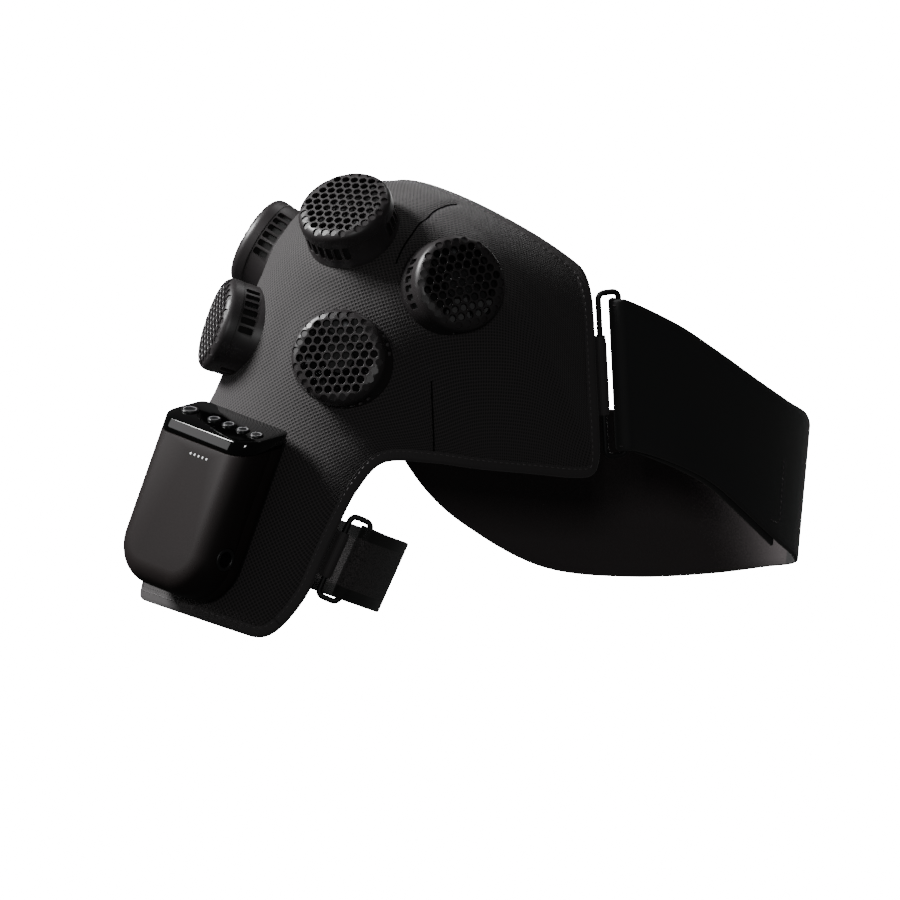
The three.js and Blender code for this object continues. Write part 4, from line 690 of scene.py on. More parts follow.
def fabric_places(columns, rows, inset):
    """The fabric's grid of places, a distance inside the edge."""
    places, point, _, _, inwards = edge_loop(columns, rows)
    ring = np.stack(nearest_place(point + inwards * inset, places[:, 0], places[:, 1]), -1)
    m, n = len(columns) - 1, len(rows) - 1
    front = ring[: m + 1]
    neck = ring[m : m + n + 1][::-1]
    back = ring[m + n : 2 * m + n + 1][::-1]
    hem = np.concatenate([ring[2 * m + n :], ring[:1]])
    s = (columns / LAST_PLACE)[:, None, None]
    t = ((rows + 1) / 2)[None, :, None]
    ends = (1 - s) * hem[None] + s * neck[None]
    sides = (1 - t) * back[:, None] + t * front[:, None]
    low = (1 - t) * hem[0] + t * hem[-1]
    high = (1 - t) * neck[0] + t * neck[-1]
    grid = ends + sides - (1 - s) * low - s * high
    return grid[..., 0], grid[..., 1]


def pod_matrix(along, across, lean, turn):
    point, along_way, across_way, normal = wrap_frame(along, across)
    z = unit(normal + unit(along_way) * lean[0] + unit(across_way) * lean[1])
    y = unit(np.cross(z, across_way))
    return axes_matrix(np.cross(y, z), y, z, point) @ Matrix.Rotation(math.radians(turn), 4, "Z")


PODS = [pod_matrix(*shares) for shares in POD_SHARES]
POD_POINTS = np.array([m.translation for m in PODS])
POD_AXES = np.array([m.col[2][:3] for m in PODS])

# Darts of the front flap, as places: one from the armhole edge upwards, one from the neck edge
# round the pod
SIDE_DART = [(6.14, 0.95), (6.31, 0.84), (6.5, 0.745), (6.66, 0.68)]
NECK_DART = [(13.54, 0.193), (12.49, 0.163), (11.07, 0.155), (9.28, 0.18)]
NECK_DART += [(8.39, 0.215), (7.9, 0.24), (7.61, 0.265)]
SWELL = 1.3 * MM
SWELL_REACH = 15 * MM
DART_DEPTH = 1.0 * MM
DART_WIDTH = 2.4 * MM
DART_SHADE_RADIUS = 0.42 * MM


def dart_line(places):
    """A dart's places, twelve steps to each one given."""
    table = np.array(places)
    last = len(table) - 1
    return smooth_read(table, np.linspace(0, last, 12 * last + 1))


def relief(point):
    """How far the padded face stands off its plain form: up round each pod, down along each dart."""
    rise = np.zeros(point.shape[:-1])
    for centre, axis in zip(POD_POINTS, POD_AXES):
        off = point - centre
        away = np.linalg.norm(off - (off @ axis)[..., None] * axis, axis=-1)
        share = np.clip(1 - (away - CAP_RADIUS) / SWELL_REACH, 0, 1)
        rise += SWELL * share * share * (3 - 2 * share) * (np.linalg.norm(off, axis=-1) < 2 * CAP_RADIUS)
    for dart in (SIDE_DART, NECK_DART):
        line = wrap_point(*dart_line(dart).T)
        near = np.min([np.linalg.norm(point - spot, axis=-1) for spot in line], axis=0)
        rise -= DART_DEPTH * np.exp(-((near / DART_WIDTH) ** 2))
    return rise


def fabric_layer(name, columns, rows, inset, top, bottom, material, shaped):
    """One layer of the wrap between two depths, with a round hole for each pod."""
    along, across = fabric_places(np.linspace(0, LAST_PLACE, columns), np.linspace(-1, 1, rows), inset)
    point, _, _, normal = wrap_frame(along, across)
    rise = relief(point)[..., None] if shaped else 0
    cloth = np.stack([run_length(point, 0), run_length(point, 1)], -1)
    cloth[..., 1] -= cloth[:, rows // 2 : rows // 2 + 1, 1]
    layer = sheet_piece(name, point + normal * (rise - top), point - normal * bottom, cloth, material)
    for matrix in PODS:
        bpy.ops.mesh.primitive_cylinder_add(vertices=64, radius=CAP_RADIUS - CAP_TUCK, depth=60 * MM)
        cutter = current()
        cutter.data.transform(matrix)
        cut_with(layer, cutter)
    return finished(layer, name, material, CLOTH_SMOOTH)


def wrap_binding():
    """Tape folded over the edge, round the whole wrap, and its row of stitches."""
    columns, rows = np.linspace(0, LAST_PLACE, 260), np.linspace(-1, 1, 150)
    _, point, normal, tangent, inwards = edge_loop(columns, rows)
    proud, skin, turn = 0.45 * MM, 0.38 * MM, 1.9 * MM
    outer = [(BINDING_WIDTH, -proud)]
    for a in np.radians((0, 30, 60, 90)):
        outer.append((turn - turn * math.sin(a), turn * (1 - math.cos(a)) - proud))
    outer += [(i, STACK - d) for i, d in outer[::-1]]
    inner = []
    for i, d in outer[::-1]:
        inner.append((i + skin * (i < BINDING_WIDTH), d + skin * (1 if d < STACK / 2 else -1)))
    section = np.array(outer + inner)
    reach, drop = section[None, :, :1], section[None, :, 1:]
    sections = point[:, None] + reach * inwards[:, None] - drop * normal[:, None]
    run = run_length(np.concatenate([point, point[:1]]), 0)[:-1]
    around = run_length(section, 0)
    cloth = np.stack(np.broadcast_arrays(run[:, None], around[None]), -1)
    tape = hoop_piece("edge_tape", sections, cloth, TAPE)
    seam = point + inwards * (BINDING_WIDTH - 1.2 * MM) + normal * proud
    at = spaced(seam, EDGE_STITCH_PITCH)
    ways, faces = unit(between(tangent, at)), unit(between(normal, at))
    return tape, stitches("edge_stitches", between(seam, at), ways, faces)


def dart_shade_lines():
    """A near-black cord along each dart, as painted shade in the crease of its seam."""
    shade_lines = []
    for name, dart in (("side_dart_shade_line", SIDE_DART), ("neck_dart_shade_line", NECK_DART)):
        point, _, _, normal = wrap_frame(*dart_line(dart).T)
        line = point + normal * (relief(point)[:, None] + 0.12 * MM)
        # Painted shade: the cord stands in for the shade in the dart's crease.
        shade_lines.append(tube(name, line, DART_SHADE_RADIUS, False, SEAM_SHADE, 2))
    return shade_lines


# Pods

GRILLE_PITCH = 4.75 * MM
GRILLE_HOLE = 1.9 * MM
GRILLE_REACH = 4.6 * GRILLE_PITCH
GRILLE_THROUGH = 19.6 * MM
GRILLE_DOME = 0.5 * MM
VENT_WIDTH = 3.3 * MM
VENT_HEIGHT = 7.6 * MM
VENT_BASE = 1.9 * MM
VENT_STEP = 0.25 * MM
# How far each pod's vents are turned round its cap, in degrees
VENT_TURNS = [19, 47, 62, 33, 46]


def cap_skin(radius):
    """Height of the cap's face at a radius, and its lean there in radians."""
    flat = CAP_RADIUS - CAP_ROUND
    if radius <= flat:
        return CAP_RISE + GRILLE_DOME * (1 - (radius / flat) ** 2), 2 * GRILLE_DOME * radius / flat**2
    out = (radius - flat) / CAP_ROUND
    return CAP_RISE - CAP_ROUND * (1 - math.sqrt(1 - out * out)), math.asin(out)


def cap_body():
    bore = CAP_RADIUS - CAP_WALL
    flat = CAP_RADIUS - CAP_ROUND
    under = CAP_RISE - CAP_WALL
    band_top = VENT_BASE + VENT_HEIGHT + 0.8 * MM
    recess = CAP_RADIUS - VENT_STEP
    profile = [(0, under + GRILLE_DOME), (flat * 0.6, under + GRILLE_DOME * 0.7)]
    profile += arc((bore - 3 * MM, under - 3 * MM), 3 * MM, 90, 0, 5)
    profile += [(bore, -CAP_SKIRT), (CAP_RADIUS, -CAP_SKIRT), (CAP_RADIUS, 0.3 * MM)]
    profile += [(recess, 0.8 * MM), (recess, band_top), (CAP_RADIUS, band_top + VENT_STEP)]
    profile += arc((flat, CAP_RISE - CAP_ROUND), CAP_ROUND, 0, 90, 8)
    profile += [(r * flat, cap_skin(r * flat)[0]) for r in (0.8, 0.6, 0.4, 0.2, 0)]
    return turned("pod_cap", profile, POD_SIDES)


def hole_cutter():
    """One grille hole with a small chamfer, its face at height zero."""
    chamfer = 0.22 * MM
    profile = [(0, -3 * MM), (GRILLE_HOLE, -3 * MM), (GRILLE_HOLE, -chamfer)]
    profile += [(GRILLE_HOLE + 2 * chamfer, chamfer), (GRILLE_HOLE + 2 * chamfer, 1 * MM), (0, 1 * MM)]
    return turned("hole_cutter", profile, 16)


def grille_places():
    """Where the holes of the hexagonal grille go, with how deep each one is sunk."""
    places = []
    for i in range(-6, 7):
        for j in range(-6, 7):
            x, y = (i + j / 2) * GRILLE_PITCH, j * math.sin(math.pi / 3) * GRILLE_PITCH
            radius = math.hypot(x, y)
            if radius > GRILLE_REACH:
                continue
            height, lean = cap_skin(radius)
            rise = 0 if radius < GRILLE_THROUGH else 2.2 * MM
            tilt = Matrix.Rotation(lean, 4, Vector((-y, x, 0)) if radius else Vector((1, 0, 0)))
            places.append(Matrix.Translation((x, y, height)) @ tilt @ Matrix.Translation((0, 0, rise)))
    return places


def vent_cutter():
    bpy.ops.mesh.primitive_cube_add(size=1, scale=(5 * MM, VENT_WIDTH, VENT_HEIGHT))
    slot = current()
    bpy.ops.object.transform_apply(scale=True)
    soften(slot, 0.9 * MM, 4, 60)
    return slot


def vent_places(turned_by):
    places = []
    for group in range(3):
        for k in range(6):
            turn = math.radians(120 * group + (k - 2.5) * 11.3 + turned_by)
            place = Matrix.Translation((CAP_RADIUS - 1 * MM, 0, VENT_BASE + VENT_HEIGHT / 2))
            places.append(Matrix.Rotation(turn, 4, "Z") @ place)
    return places


def grille_cap():
    cap = cap_body()
    cut_with(cap, gathered("holes", hole_cutter(), grille_places()))
    return cap


def vented(cap, name, turned_by):
    """A copy of the cap with its vents cut at their own turn."""
    made = copied(cap, Matrix.Identity(4))
    cut_with(made, gathered("vents", vent_cutter(), vent_places(turned_by)))
    return finished(made, name, CAP_ABS, 30)


def dust_screen():
    """Band of fine screen behind the vents, with a gasket at its foot round the skin plate."""
    outer, inner = CAP_RADIUS - CAP_WALL - 0.1 * MM, PLATE_RADIUS + 0.1 * MM
    foot, step, head = -PLATE_DROP + 0.4 * MM, -CAP_SKIRT + 1.3 * MM, VENT_BASE + VENT_HEIGHT + 0.6 * MM
    skin = outer - 0.18 * MM
    profile = [(inner, foot), (outer, foot), (outer, head), (skin, head), (skin, step), (inner, step)]
    return turned("dust_screen", profile, POD_SIDES, SCREEN)


def contact_plate():
    round_ = 0.8 * MM
    low, high = -PLATE_DROP, PLATE_THICK - PLATE_DROP
    profile = [(0, low)] + arc((PLATE_RADIUS - round_, low + round_), round_, -90, 0, 4)
    profile += [(PLATE_RADIUS, high), (0, high)]
    return turned("contact_plate", profile, POD_SIDES, ALUMINIUM)


# Straps, rings and keepers


def ring_axes(place):
    """A ring's near bar beside the front edge: x off the edge, y along it, z off the fabric."""
    point, along_way, across_way, _ = wrap_frame(place, 1.0)
    y = unit(along_way)
    x = unit(across_way - y * (across_way @ y))
    z = np.cross(x, y)
    return x, y, z, point + x * BAR_OFFSET - z * BAR_DROP


def ring_piece(name, place, length):
    """A rectangular ring with rounded corners, bent from round bar."""
    x, y, _, point = ring_axes(place)
    centre, half = RING_REACH / 2, (length - BAR) / 2 - RING_CORNER
    path = []
    for i, (sx, sy) in enumerate(((1, 1), (-1, 1), (-1, -1), (1, -1))):
        middle = (centre + sx * (RING_REACH / 2 - RING_CORNER), sy * half)
        path += arc(middle, RING_CORNER, 90 * i, 90 * i + 90, 8)
    return tube(name, [point + x * a + y * b for a, b in path], BAR / 2, True, NYLON, 5)


def keeper_piece(name, place, length):
    """Tape folded round the near bar, both ends sewn under the edge."""
    x, y, z, point = ring_axes(place)
    eye = BAR / 2 + GAP + KEEPER_THICK / 2
    top = BAR_DROP - STACK - 1.3 * MM
    upper = top - KEEPER_THICK / 2
    lower = top - KEEPER_THICK * 1.5
    back = -KEEPER_TAIL - BAR_OFFSET
    centre = [(back, upper), (back * 0.5, upper), (-eye * 1.4, upper + 0.1 * MM)]
    centre += arc((0, 0), eye, 150, -150, 18)
    centre += [(-eye * 1.4, lower), (back * 0.5, lower), (back, lower)]
    line = np.array(centre)
    lean = np.where(line[:, 0] < -eye, (line[:, 0] + eye) * math.tan(KEEPER_LEAN), 0)
    line[:, 1] += lean
    across = np.linspace(-length / 2, length / 2, 9)
    grid = point + line[:, None, :1] * x + line[:, None, 1:] * z + across[None, :, None] * y
    return band_piece(name, grid, KEEPER_THICK * 0.92, TAPE)


def band_piece(name, grid, thick, material):
    """A strap of one thickness with rounded edges, round a grid of points along it and across it."""
    normal = unit(np.cross(np.gradient(grid, axis=0), np.gradient(grid, axis=1)))
    across = run_length(grid, 1)
    edge = np.minimum(across, across[:, -1:] - across)
    share = np.clip(edge / (thick / 2), 0.03, 1)
    half = thick / 2 * np.sqrt(1 - (1 - share) ** 2)
    cloth = np.stack([run_length(grid, 0), across], -1)
    off = normal * half[..., None]
    return sheet_piece(name, grid + off, grid - off, cloth, material)


def across_shares(width, thick, count):
    """Shares across a strap, close together at its rounded edges."""
    rim = np.array([0, 0.12, 0.3, 0.6, 1]) * thick / 2 / width
    inner = np.linspace(rim[-1], 1 - rim[-1], count)[1:-1]
    return np.concatenate([rim, inner, 1 - rim[::-1]])


def resampled(control, pitch):
    """Rows along a smooth curve through control rows."""
    step = np.linalg.norm(np.diff(control, axis=0), axis=2).mean(1)
    width = np.sqrt(step)[:, None, None]
    slope = np.diff(control, axis=0) / width
    middle = (slope[:-1] * width[1:] + slope[1:] * width[:-1]) / (width[1:] + width[:-1])
    tangent = np.concatenate([slope[:1], middle, slope[-1:]])
    rows = []
    for i, length in enumerate(step):
        t = np.linspace(0, 1, max(2, int(length / pitch)), endpoint=False)[:, None, None]
        slopes = tangent[i] * width[i], tangent[i + 1] * width[i]
        rows.append(curve_step(control[i], control[i + 1], *slopes, t))
    return np.concatenate([*rows, control[-1:]])


def bar_turn(axes, thick, low, high, shares, leave):
    """Rows of a strap turned round a ring's far bar: in from the strap, round, and back."""
    x, y, z, point = axes
    radius = BAR / 2 + BAR_PLAY + thick / 2
    angles = np.radians(-90 - leave - np.linspace(0, 180, 13))[:, None, None]
    middle = point + x * RING_REACH + radius * (np.cos(angles) * x + np.sin(angles) * z)
    return middle + (high + (low - high) * shares)[None, :, None] * y


def sewn_rows(places, thick, shares):
    """Rows on the inner face of the back half, from inside its edge out to the edge."""
    along = places[0] + (places[1] - places[0]) * shares
    point, along_way, across_way, _ = wrap_frame(along, -1.0)
    y = unit(along_way)
    inwards = unit(across_way - y * (across_way * y).sum(-1, keepdims=True))
    rows = []
    for share in (0, 0.5, 1):
        at = nearest_place(point + inwards * WING_OVERLAP * share, along, np.full(len(along), -1.0))
        spot, _, _, normal = wrap_frame(*at)
        rows.append(spot - normal * (STACK + WING_GAP + thick / 2))
    return np.array(rows)


def read_grid(table, rows, columns):
    """A grid's values at fractional rows and columns."""
    r = np.minimum(rows.astype(int), len(table) - 2)
    c = np.minimum(columns.astype(int), table.shape[1] - 2)
    u, v = (rows - r)[:, None], (columns - c)[:, None]
    near = table[r, c] * (1 - u) + table[r + 1, c] * u
    return near * (1 - v) + (table[r, c + 1] * (1 - u) + table[r + 1, c + 1] * u) * v


def strap_stitching(grid, shares):
    """Stitches round the end of the hook tab behind the strap, and over both ends of the ring's fold."""
    normal = unit(np.cross(np.gradient(grid, axis=0), np.gradient(grid, axis=1)))
    middle = grid[: len(grid) // 2, len(shares) // 2]
    fold = int(np.argmin(middle[:, 0]))
    seam = fold + int(np.argmin(np.abs(middle[fold:, 0] - TAB_END)))
    bend = np.radians(np.linspace(0, 90, 7))
    tab = [np.full(30, seam), np.linspace(0.42, 0.84, 30)]
    tab = [np.append(tab[0], seam - 4 * (1 - np.cos(bend))), np.append(tab[1], 0.84 + 0.06 * np.sin(bend))]
    hems = [(fold + np.linspace(0.6, 3, 6), np.full(6, share)) for share in (0.035, 0.965)]
    points, ways, normals = [], [], []
    for rows, across in (tab, *hems):
        columns = np.interp(across, shares, np.arange(len(shares)))
        spots, faces = read_grid(grid, rows, columns), unit(read_grid(normal, rows, columns))
        faces *= np.sign((faces * (spots - (STRAP_MIDDLE, 0, 0)))[:, :2].sum(-1, keepdims=True))
        line = spots + faces * CHEST_STRAP_THICK / 2
        at = spaced(line, STRAP_STITCH_PITCH)
        points.append(between(line, at))
        ways.append(unit(between(np.gradient(line, axis=0), at)))
        normals.append(unit(between(faces, at)))
    return stitches("chest_strap_stitches", *(np.concatenate(v) for v in (points, ways, normals)))


def chest_strap():
    axes = ring_axes(CHEST_RING_PLACE)
    unit_height, middle = CHEST_STRAP_UNIT, axes[3][2]
    tops, feet = np.array(CHEST_TOP_SHARES) * unit_height, np.array(CHEST_FOOT_SHARES) * unit_height
    shares = across_shares(tops[0] - feet[0], CHEST_STRAP_THICK, 25)
    turn = bar_turn(axes, CHEST_STRAP_THICK, feet[0] - middle, tops[0] - middle, shares, CHEST_LEAVE)
    centre = len(shares) // 2
    outer_end = turn[-1, centre]
    sewn = sewn_rows(CHEST_WING_PLACES, CHEST_STRAP_THICK, shares)

    def loop(step, inset):
        angle = math.radians(CHEST_ANGLES[step])
        depth = -outer_end[1] if angle < 0 else sewn[0, centre, 1]
        x = outer_end[0] + (CHEST_STRAP_REACH - inset) * math.cos(angle)
        row = np.empty((len(shares), 3))
        row[:] = (x, (depth - inset) * math.sin(angle), 0)
        row[:, 0] -= (CHEST_LEAN + CHEST_FOOT_LEAN * shares) * math.cos(angle)
        row[:, 2] = tops[step] + (feet[step] - tops[step]) * shares - (UNDER_DROP * shares if inset else 0)
        return row

    under = CHEST_STRAP_THICK + LAYER_GAP
    control = [loop(step, under) for step in range(CHEST_TURNBACK_STEPS, 0, -1)]
    control += [*turn, *(loop(step, 0) for step in range(1, len(CHEST_ANGLES) - 1)), *sewn]
    grid = resampled(np.array(control), 3.5 * MM)
    strap = band_piece("chest_strap_cloth", grid, CHEST_STRAP_THICK, NEOPRENE)
    strap.data.materials.append(PILE_AND_PAINTED_LIGHT)
    middle = Vector((outer_end[0], 0, 0))
    # Painted light: inner faces of the strap's far half take the paler pile, which stands in partly for the
    # lamp light falling on them.
    for face in strap.data.polygons:
        outward = (face.center - middle) * Vector((1, 1, 0))
        inner = outward.normalized().dot(face.normal) < -0.3
        face.material_index = int(face.center.y > PILE_AND_LIGHT_START and inner)
    return strap, strap_stitching(grid, shares)


def arm_strap():
    axes = ring_axes(ARM_RING_PLACE)
    half = ARM_STRAP_WIDTH / 2
    shares = across_shares(ARM_STRAP_WIDTH, ARM_STRAP_THICK, 15)
    turn = bar_turn(axes, ARM_STRAP_THICK, -half, half, shares, ARM_LEAVE)
    sewn = sewn_rows((ARM_RING_PLACE + 0.5, ARM_RING_PLACE - 0.5), ARM_STRAP_THICK, shares)
    up, middle = axes[1], len(shares) // 2
    start, end = turn[-1, middle], sewn[0, middle]
    centre, side = (start + end) / 2, (start - end) / 2
    inwards = unit(np.cross(up, side))

    def loop(step, inset):
        angle = math.pi * step / ARM_STRAP_STEPS
        spot = centre + side * math.cos(angle) * (1 - inset / np.linalg.norm(side))
        spot = spot + inwards * (ARM_STRAP_RADIUS - inset) * math.sin(angle)
        return spot + (half - ARM_STRAP_WIDTH * shares)[:, None] * up

    under = ARM_STRAP_THICK + GAP
    control = [loop(step, under) for step in range(ARM_TURNBACK_STEPS, 0, -1)]
    control += [*turn, *(loop(step, 0) for step in range(1, ARM_STRAP_STEPS)), *sewn]
    grid = resampled(np.array(control), 2.5 * MM)
    return band_piece("arm_strap_cloth", grid, ARM_STRAP_THICK, ELASTIC)


# Pack


def pack_matrix():
    point, along_way, _, normal = wrap_frame(PACK_PLACE, 0.0)
    up = unit(along_way)
    seat = axes_matrix(np.cross(normal, up), normal, up, point + normal * PACK_SEAT)
    return seat @ Matrix.Rotation(PACK_TURN, 4, "Z") @ Matrix.Translation((-PACK_SHIFT, 0, 0))


PACK = pack_matrix()
PANEL = Matrix.Translation((0, 0, PACK_HEIGHT / 2)) @ Matrix.Rotation(-PACK_SLOPE, 4, "X")
UPWARDS = (PANEL.to_3x3() @ Vector((0, 0, 1))).normalized()
BUTTON_ROW = PACK_DEPTH / math.cos(PACK_SLOPE) / 2 + 1 * MM


def below_panel(drop):
    """A point on the plane that lies a drop under the sloped face."""
    return PANEL @ Vector((0, 0, -drop))


def pack_body(inset, top):
    """The pack's whole form: a box with a rounded foot and front, cut by the sloped plane."""
    half, back, front = PACK_WIDTH / 2 - inset, inset, PACK_DEPTH - inset
    foot, head = -PACK_HEIGHT / 2 + inset, PACK_HEIGHT / 2 + 2 * MM
    size, middle = (2 * half, front - back, head - foot), (0, (front + back) / 2, (head + foot) / 2)
    bpy.ops.mesh.primitive_cube_add(size=1, location=middle, scale=size)
    body = current()
    bpy.ops.object.transform_apply(location=True, scale=True)
    near = 0.01 * MM

    def lies_at(axis, value):
        return lambda a, b: abs(a[axis] - value) < near and abs(b[axis] - value) < near

    at_foot = lies_at(2, foot)
    for side in (half, -half):
        at_side = lies_at(0, side)
        bevel_edges(body, lambda a, b: at_foot(a, b) and at_side(a, b), PACK_BOTTOM_ROUND - inset, 12)
    for face, width, steps in ((front, PACK_FRONT_ROUND - inset, 8), (back, PACK_BACK_ROUND - inset, 4)):
        at_face = lies_at(1, face)
        bevel_edges(body, lambda a, b: at_face(a, b) and min(a.z, b.z) < head - near, width, steps)
    sliced(body, below_panel(top), UPWARDS)
    return body


def soften(piece, width, segments=2, limit=50):
    """Rounds every edge sharper than a limit in degrees."""
    angle = {"limit_method": "ANGLE", "angle_limit": math.radians(limit)}
    apply_modifier(piece, "BEVEL", width=width, segments=segments, **angle)


def rod_cutter(radius, length, sides):
    bpy.ops.mesh.primitive_cylinder_add(vertices=sides, radius=radius, depth=length)
    return current()


def light_places():
    front = PACK_HEIGHT / 2 - PACK_DEPTH * math.tan(PACK_SLOPE)
    height = front - PANEL_THICK / math.cos(PACK_SLOPE) - LIGHT_DROP
    across = [(k - (LIGHTS - 1) / 2 - 1.5) * LIGHT_PITCH for k in range(LIGHTS)]
    facing = Matrix.Rotation(math.radians(-90), 4, "X")
    return [Matrix.Translation((x, PACK_DEPTH, height)) @ facing for x in across]


SOCKET = Matrix.Translation((-PACK_WIDTH / 2, PACK_DEPTH / 2, SOCKET_RISE))
SOCKET = SOCKET @ Matrix.Rotation(math.radians(-90), 4, "Y")


def pack_shell(name, front_part):
    shell = pack_body(0, PANEL_THICK + GAP)
    depth = REAR_SHELL_DEPTH + (GAP if front_part else 0)
    sliced(shell, (0, depth, 0), (0, -1 if front_part else 1, 0))
    soften(shell, 0.35 * MM)
    cut_with(shell, pack_body(PACK_WALL, -10 * MM))
    mouth = rod_cutter(SOCKET_RADIUS + PACK_WALL + SOCKET_PLAY, 12 * MM, 48)
    mouth.data.transform(SOCKET)
    cut_with(shell, mouth)
    if front_part:
        cut_with(shell, gathered("light_holes", rod_cutter(LIGHT_HOLE_RADIUS, 8 * MM, 20), light_places()))
    return finished(shell, name, SOFT_TOUCH, 35)


def button_places():
    return [PANEL @ Matrix.Translation((share * PACK_WIDTH / 2, BUTTON_ROW, 0)) for share in BUTTON_SHARES]


def button_radius(number):
    return POWER_BUTTON_RADIUS if number == 0 else BUTTON_RADIUS


def control_panel():
    panel = pack_body(0, 0)
    sliced(panel, below_panel(PANEL_THICK), -UPWARDS)
    soften(panel, 0.6 * MM)
    cut_with(panel, pack_body(PACK_WALL, PANEL_SKIN))
    for number, place in enumerate(button_places()):
        hole = rod_cutter(button_radius(number) + BUTTON_PLAY, 8 * MM, 40)
        hole.data.transform(place)
        cut_with(panel, hole)
    return finished(panel, "panel_face", GLOSS, 35)


def button_piece(number):
    """A button with a dished top, and the plain ring printed on it."""
    radius, top = button_radius(number), BUTTON_PROUD
    flange, lip, edge = -PANEL_SKIN - GAP, radius + 0.8 * MM, 0.5 * MM
    profile = [(0, flange - 1 * MM), (lip, flange - 1 * MM), (lip, flange), (radius, flange)]
    profile += arc((radius - edge, top - edge), edge, 0, 90, 4)
    profile += [(radius * 0.7, top - 0.12 * MM), (radius * 0.3, top - 0.22 * MM), (0, top - 0.24 * MM)]
    cap = turned(f"button_cap_{number + 1}", profile, 40, BUTTON)
    ring, low = radius * 0.74, top - 0.2 * MM
    bore = ring - 0.28 * MM
    mark = [(bore, low), (ring, low), (ring, top - 0.02 * MM), (bore, top - 0.04 * MM)]
    printed = turned(f"button_mark_{number + 1}", mark, 40, PRINT)
    for piece in (cap, printed):
        piece.data.transform(PACK @ button_places()[number])
    return cap, printed


def socket_pieces():
    """The socket's barrel and the pin in its middle."""
    outer, back, lip = SOCKET_RADIUS + PACK_WALL, -SOCKET_DEPTH - PACK_WALL, 0.35 * MM
    profile = [(0, back), (outer, back), (outer, -lip), (outer - lip, 0), (SOCKET_RADIUS + lip, 0)]
    profile += [(SOCKET_RADIUS, -lip), (SOCKET_RADIUS, -SOCKET_DEPTH), (0, -SOCKET_DEPTH)]
    barrel = turned("socket_barrel", profile, 48, INSULATOR)
    foot, tip = -SOCKET_DEPTH - 1 * MM, -SOCKET_DEPTH / 2
    profile = [(0, foot), (0.8 * MM, foot), (0.8 * MM, tip - lip), (0.45 * MM, tip), (0, tip)]
    return barrel, turned("socket_pin", profile, 24, PLATED)


def light_pins():
    """The lit ends of the light guide, one in each hole."""
    root = -4 * MM
    profile = [(0, root), (LIGHT_RADIUS, root), (LIGHT_RADIUS, -0.25 * MM)]
    profile += [(0.45 * MM, -0.02 * MM), (0, 0.03 * MM)]
    return finished(gathered("pins", turned("pin", profile, 16), light_places()), "light_pins", LIGHT)


# Building


def replace(piece, slot, *nodes, body="wrap"):
    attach(piece, body)
    if nodes:
        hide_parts(*nodes)
    return piece


def paint(nodes, material):
    """Gives frame nodes that stay in sight their finish."""
    for node in nodes:
        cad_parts[node].data.materials.clear()
        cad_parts[node].data.materials.append(material)


def build_wrap():
    shell = fabric_layer("shell_fabric", 170, 190, 2 * MM, 0, SHELL_THICK, SHELL, True)
    liner = fabric_layer("lining_fabric", 90, 100, 2 * MM, SHELL_THICK + GAP, STACK, LINING, False)
    tape, sewn = wrap_binding()
    shade_lines = dart_shade_lines()
    replace(shell, "shell_fabric", "outer_shell")
    replace(liner, "lining_fabric", "inner_liner")
    replace(tape, "binding_tape", "edge_binding")
    for piece in (sewn, *shade_lines):
        replace(piece, "binding_tape")


def build_pods():
    cap, plate, screen = grille_cap(), contact_plate(), dust_screen()
    for number, matrix in enumerate(PODS, 1):
        placed = vented(cap, f"cap_{number}", VENT_TURNS[number - 1])
        placed.data.transform(matrix)
        replace(placed, "cap_plastic", f"pod_cap_{number}")
        placed, shut = copied(plate, matrix), copied(screen, matrix)
        placed.name = placed.data.name = f"skin_plate_{number}"
        shut.name = shut.data.name = f"dust_screen_{number}"
        replace(placed, "bare_aluminium", f"contact_plate_{number}")
        replace(shut, "cap_plastic")
        paint([f"fan_rotor_{number}", f"fan_frame_{number}"], FAN)
        paint([f"heat_sink_{number}"], ANODISED)
        paint([f"thermoelectric_plate_{number}"], CERAMIC)
    for pattern in (cap, plate, screen):
        bpy.data.objects.remove(pattern)


def build_straps():
    chest, sewn = chest_strap()
    arm = arm_strap()
    replace(sewn, "strap_neoprene")
    replace(chest, "strap_neoprene", "chest_strap")
    replace(arm, "strap_elastic", "arm_strap")
    rings = [("chest", CHEST_RING_PLACE, CHEST_RING_LENGTH), ("arm", ARM_RING_PLACE, ARM_RING_LENGTH)]
    for name, place, length in rings:
        ring = ring_piece(f"{name}_ring_bar", place, length)
        replace(ring, "ring_nylon", f"{name}_ring", body=f"{name}_ring")
    keepers = [("chest", CHEST_RING_PLACE, CHEST_KEEPER_LENGTH), ("arm", ARM_RING_PLACE, ARM_KEEPER_LENGTH)]
    for name, place, length in keepers:
        keeper = keeper_piece(f"{name}_keeper_tape", place, length)
        replace(keeper, "binding_tape", f"{name}_ring_keeper")


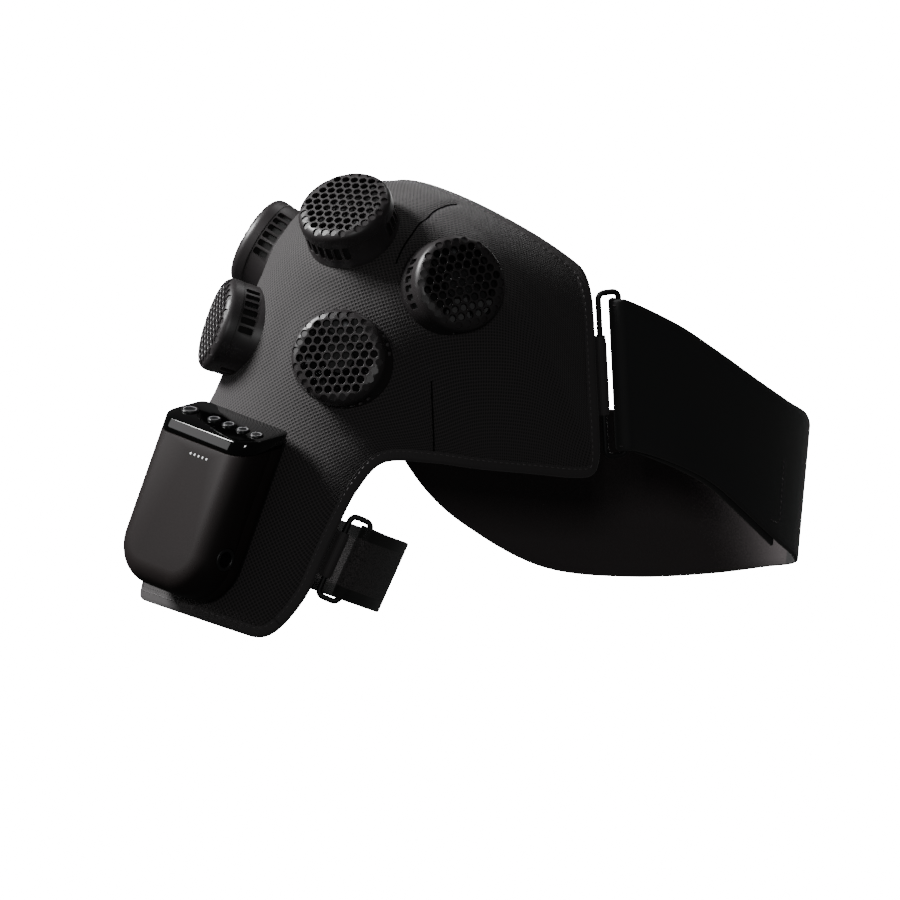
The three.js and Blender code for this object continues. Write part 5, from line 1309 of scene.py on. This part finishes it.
def build_pack():
    pieces = [
        (pack_shell("front_shell", True), "pack_plastic", "pack_front_shell"),
        (pack_shell("rear_shell", False), "pack_plastic", "pack_rear_shell"),
        (control_panel(), "panel_gloss", "control_panel"),
        (light_pins(), "light_guide", "light_guide"),
    ]
    barrel, pin = socket_pieces()
    pieces += [(barrel, "socket_metal", "charging_socket"), (pin, "socket_metal")]
    for piece in (barrel, pin):
        piece.data.transform(SOCKET)
    for piece, slot, *nodes in pieces:
        piece.data.transform(PACK)
        replace(piece, slot, *nodes)
    for number in range(len(BUTTON_SHARES)):
        cap, printed = button_piece(number)
        body = f"button_{number + 1}"
        replace(cap, "button_plastic", body, body=body)
        replace(printed, "button_plastic", body=body)
    paint(["switch_board", "circuit_board"], BOARD)
    paint(["battery_cell_left", "battery_cell_right"], SLEEVE)
    paint(["pack_backing_plate"], NYLON)


# Studio


def area_light(name, place, target, size, power):
    lamp = bpy.data.lights.new(name, "AREA")
    lamp.size = size
    lamp.energy = power
    holder = bpy.data.objects.new(name, lamp)
    holder.location = place
    holder.rotation_euler = (Vector(target) - Vector(place)).to_track_quat("-Z", "Y").to_euler()
    bpy.context.collection.objects.link(holder)


def build_studio():
    low, _ = frame_bounds
    bpy.ops.mesh.primitive_plane_add(size=14, location=(0, 0, low[2] - 4 * MM))
    floor = finished(current(), "studio_floor", STUDIO)
    select_only(floor)
    bpy.ops.object.transform_apply(location=True)
    floor.visible_diffuse = False
    floor.visible_glossy = False
    azimuth, elevation = math.radians(-42), math.radians(17)
    level = math.cos(elevation)
    right = Vector((math.cos(azimuth), math.sin(azimuth), 0))
    back = Vector((level * math.sin(azimuth), -level * math.cos(azimuth), math.sin(elevation)))
    above = back.cross(right)
    target = right * 33.5 * MM - above * 50 * MM
    camera = bpy.data.objects.new("camera", bpy.data.cameras.new("camera"))
    camera.data.lens = 640
    camera.data.clip_end = 100
    camera.location = target + back * 8
    camera.rotation_euler = (target - camera.location).to_track_quat("-Z", "Y").to_euler()
    bpy.context.collection.objects.link(camera)
    bpy.context.scene.camera = camera
    world = bpy.data.worlds.new("studio")
    world.use_nodes = True
    sky = world.node_tree.nodes["Background"]
    sky.inputs["Color"].default_value = WHITE
    sky.inputs["Strength"].default_value = 0.06
    bpy.context.scene.world = world
    # Each light's place to the right, above and behind the camera's way, its size and its power
    lights = [
        ("key", -1.5, 1.4, 0.2, 0.6, 112),
        ("side", -1.9, 0.62, 0.12, 0.7, 4),
        ("front", 0, 0.2, 2.2, 0.2, 8),
        ("rim", 0.6, 1.7, -0.8, 0.6, 4),
        ("fill", 0.9, 0.3, -2.1, 0.9, 12),
    ]
    for name, across, up, out, size, power in lights:
        area_light(name, target + right * across + above * up + back * out, target, size, power)


build_wrap()
build_pods()
build_straps()
build_pack()
build_studio()
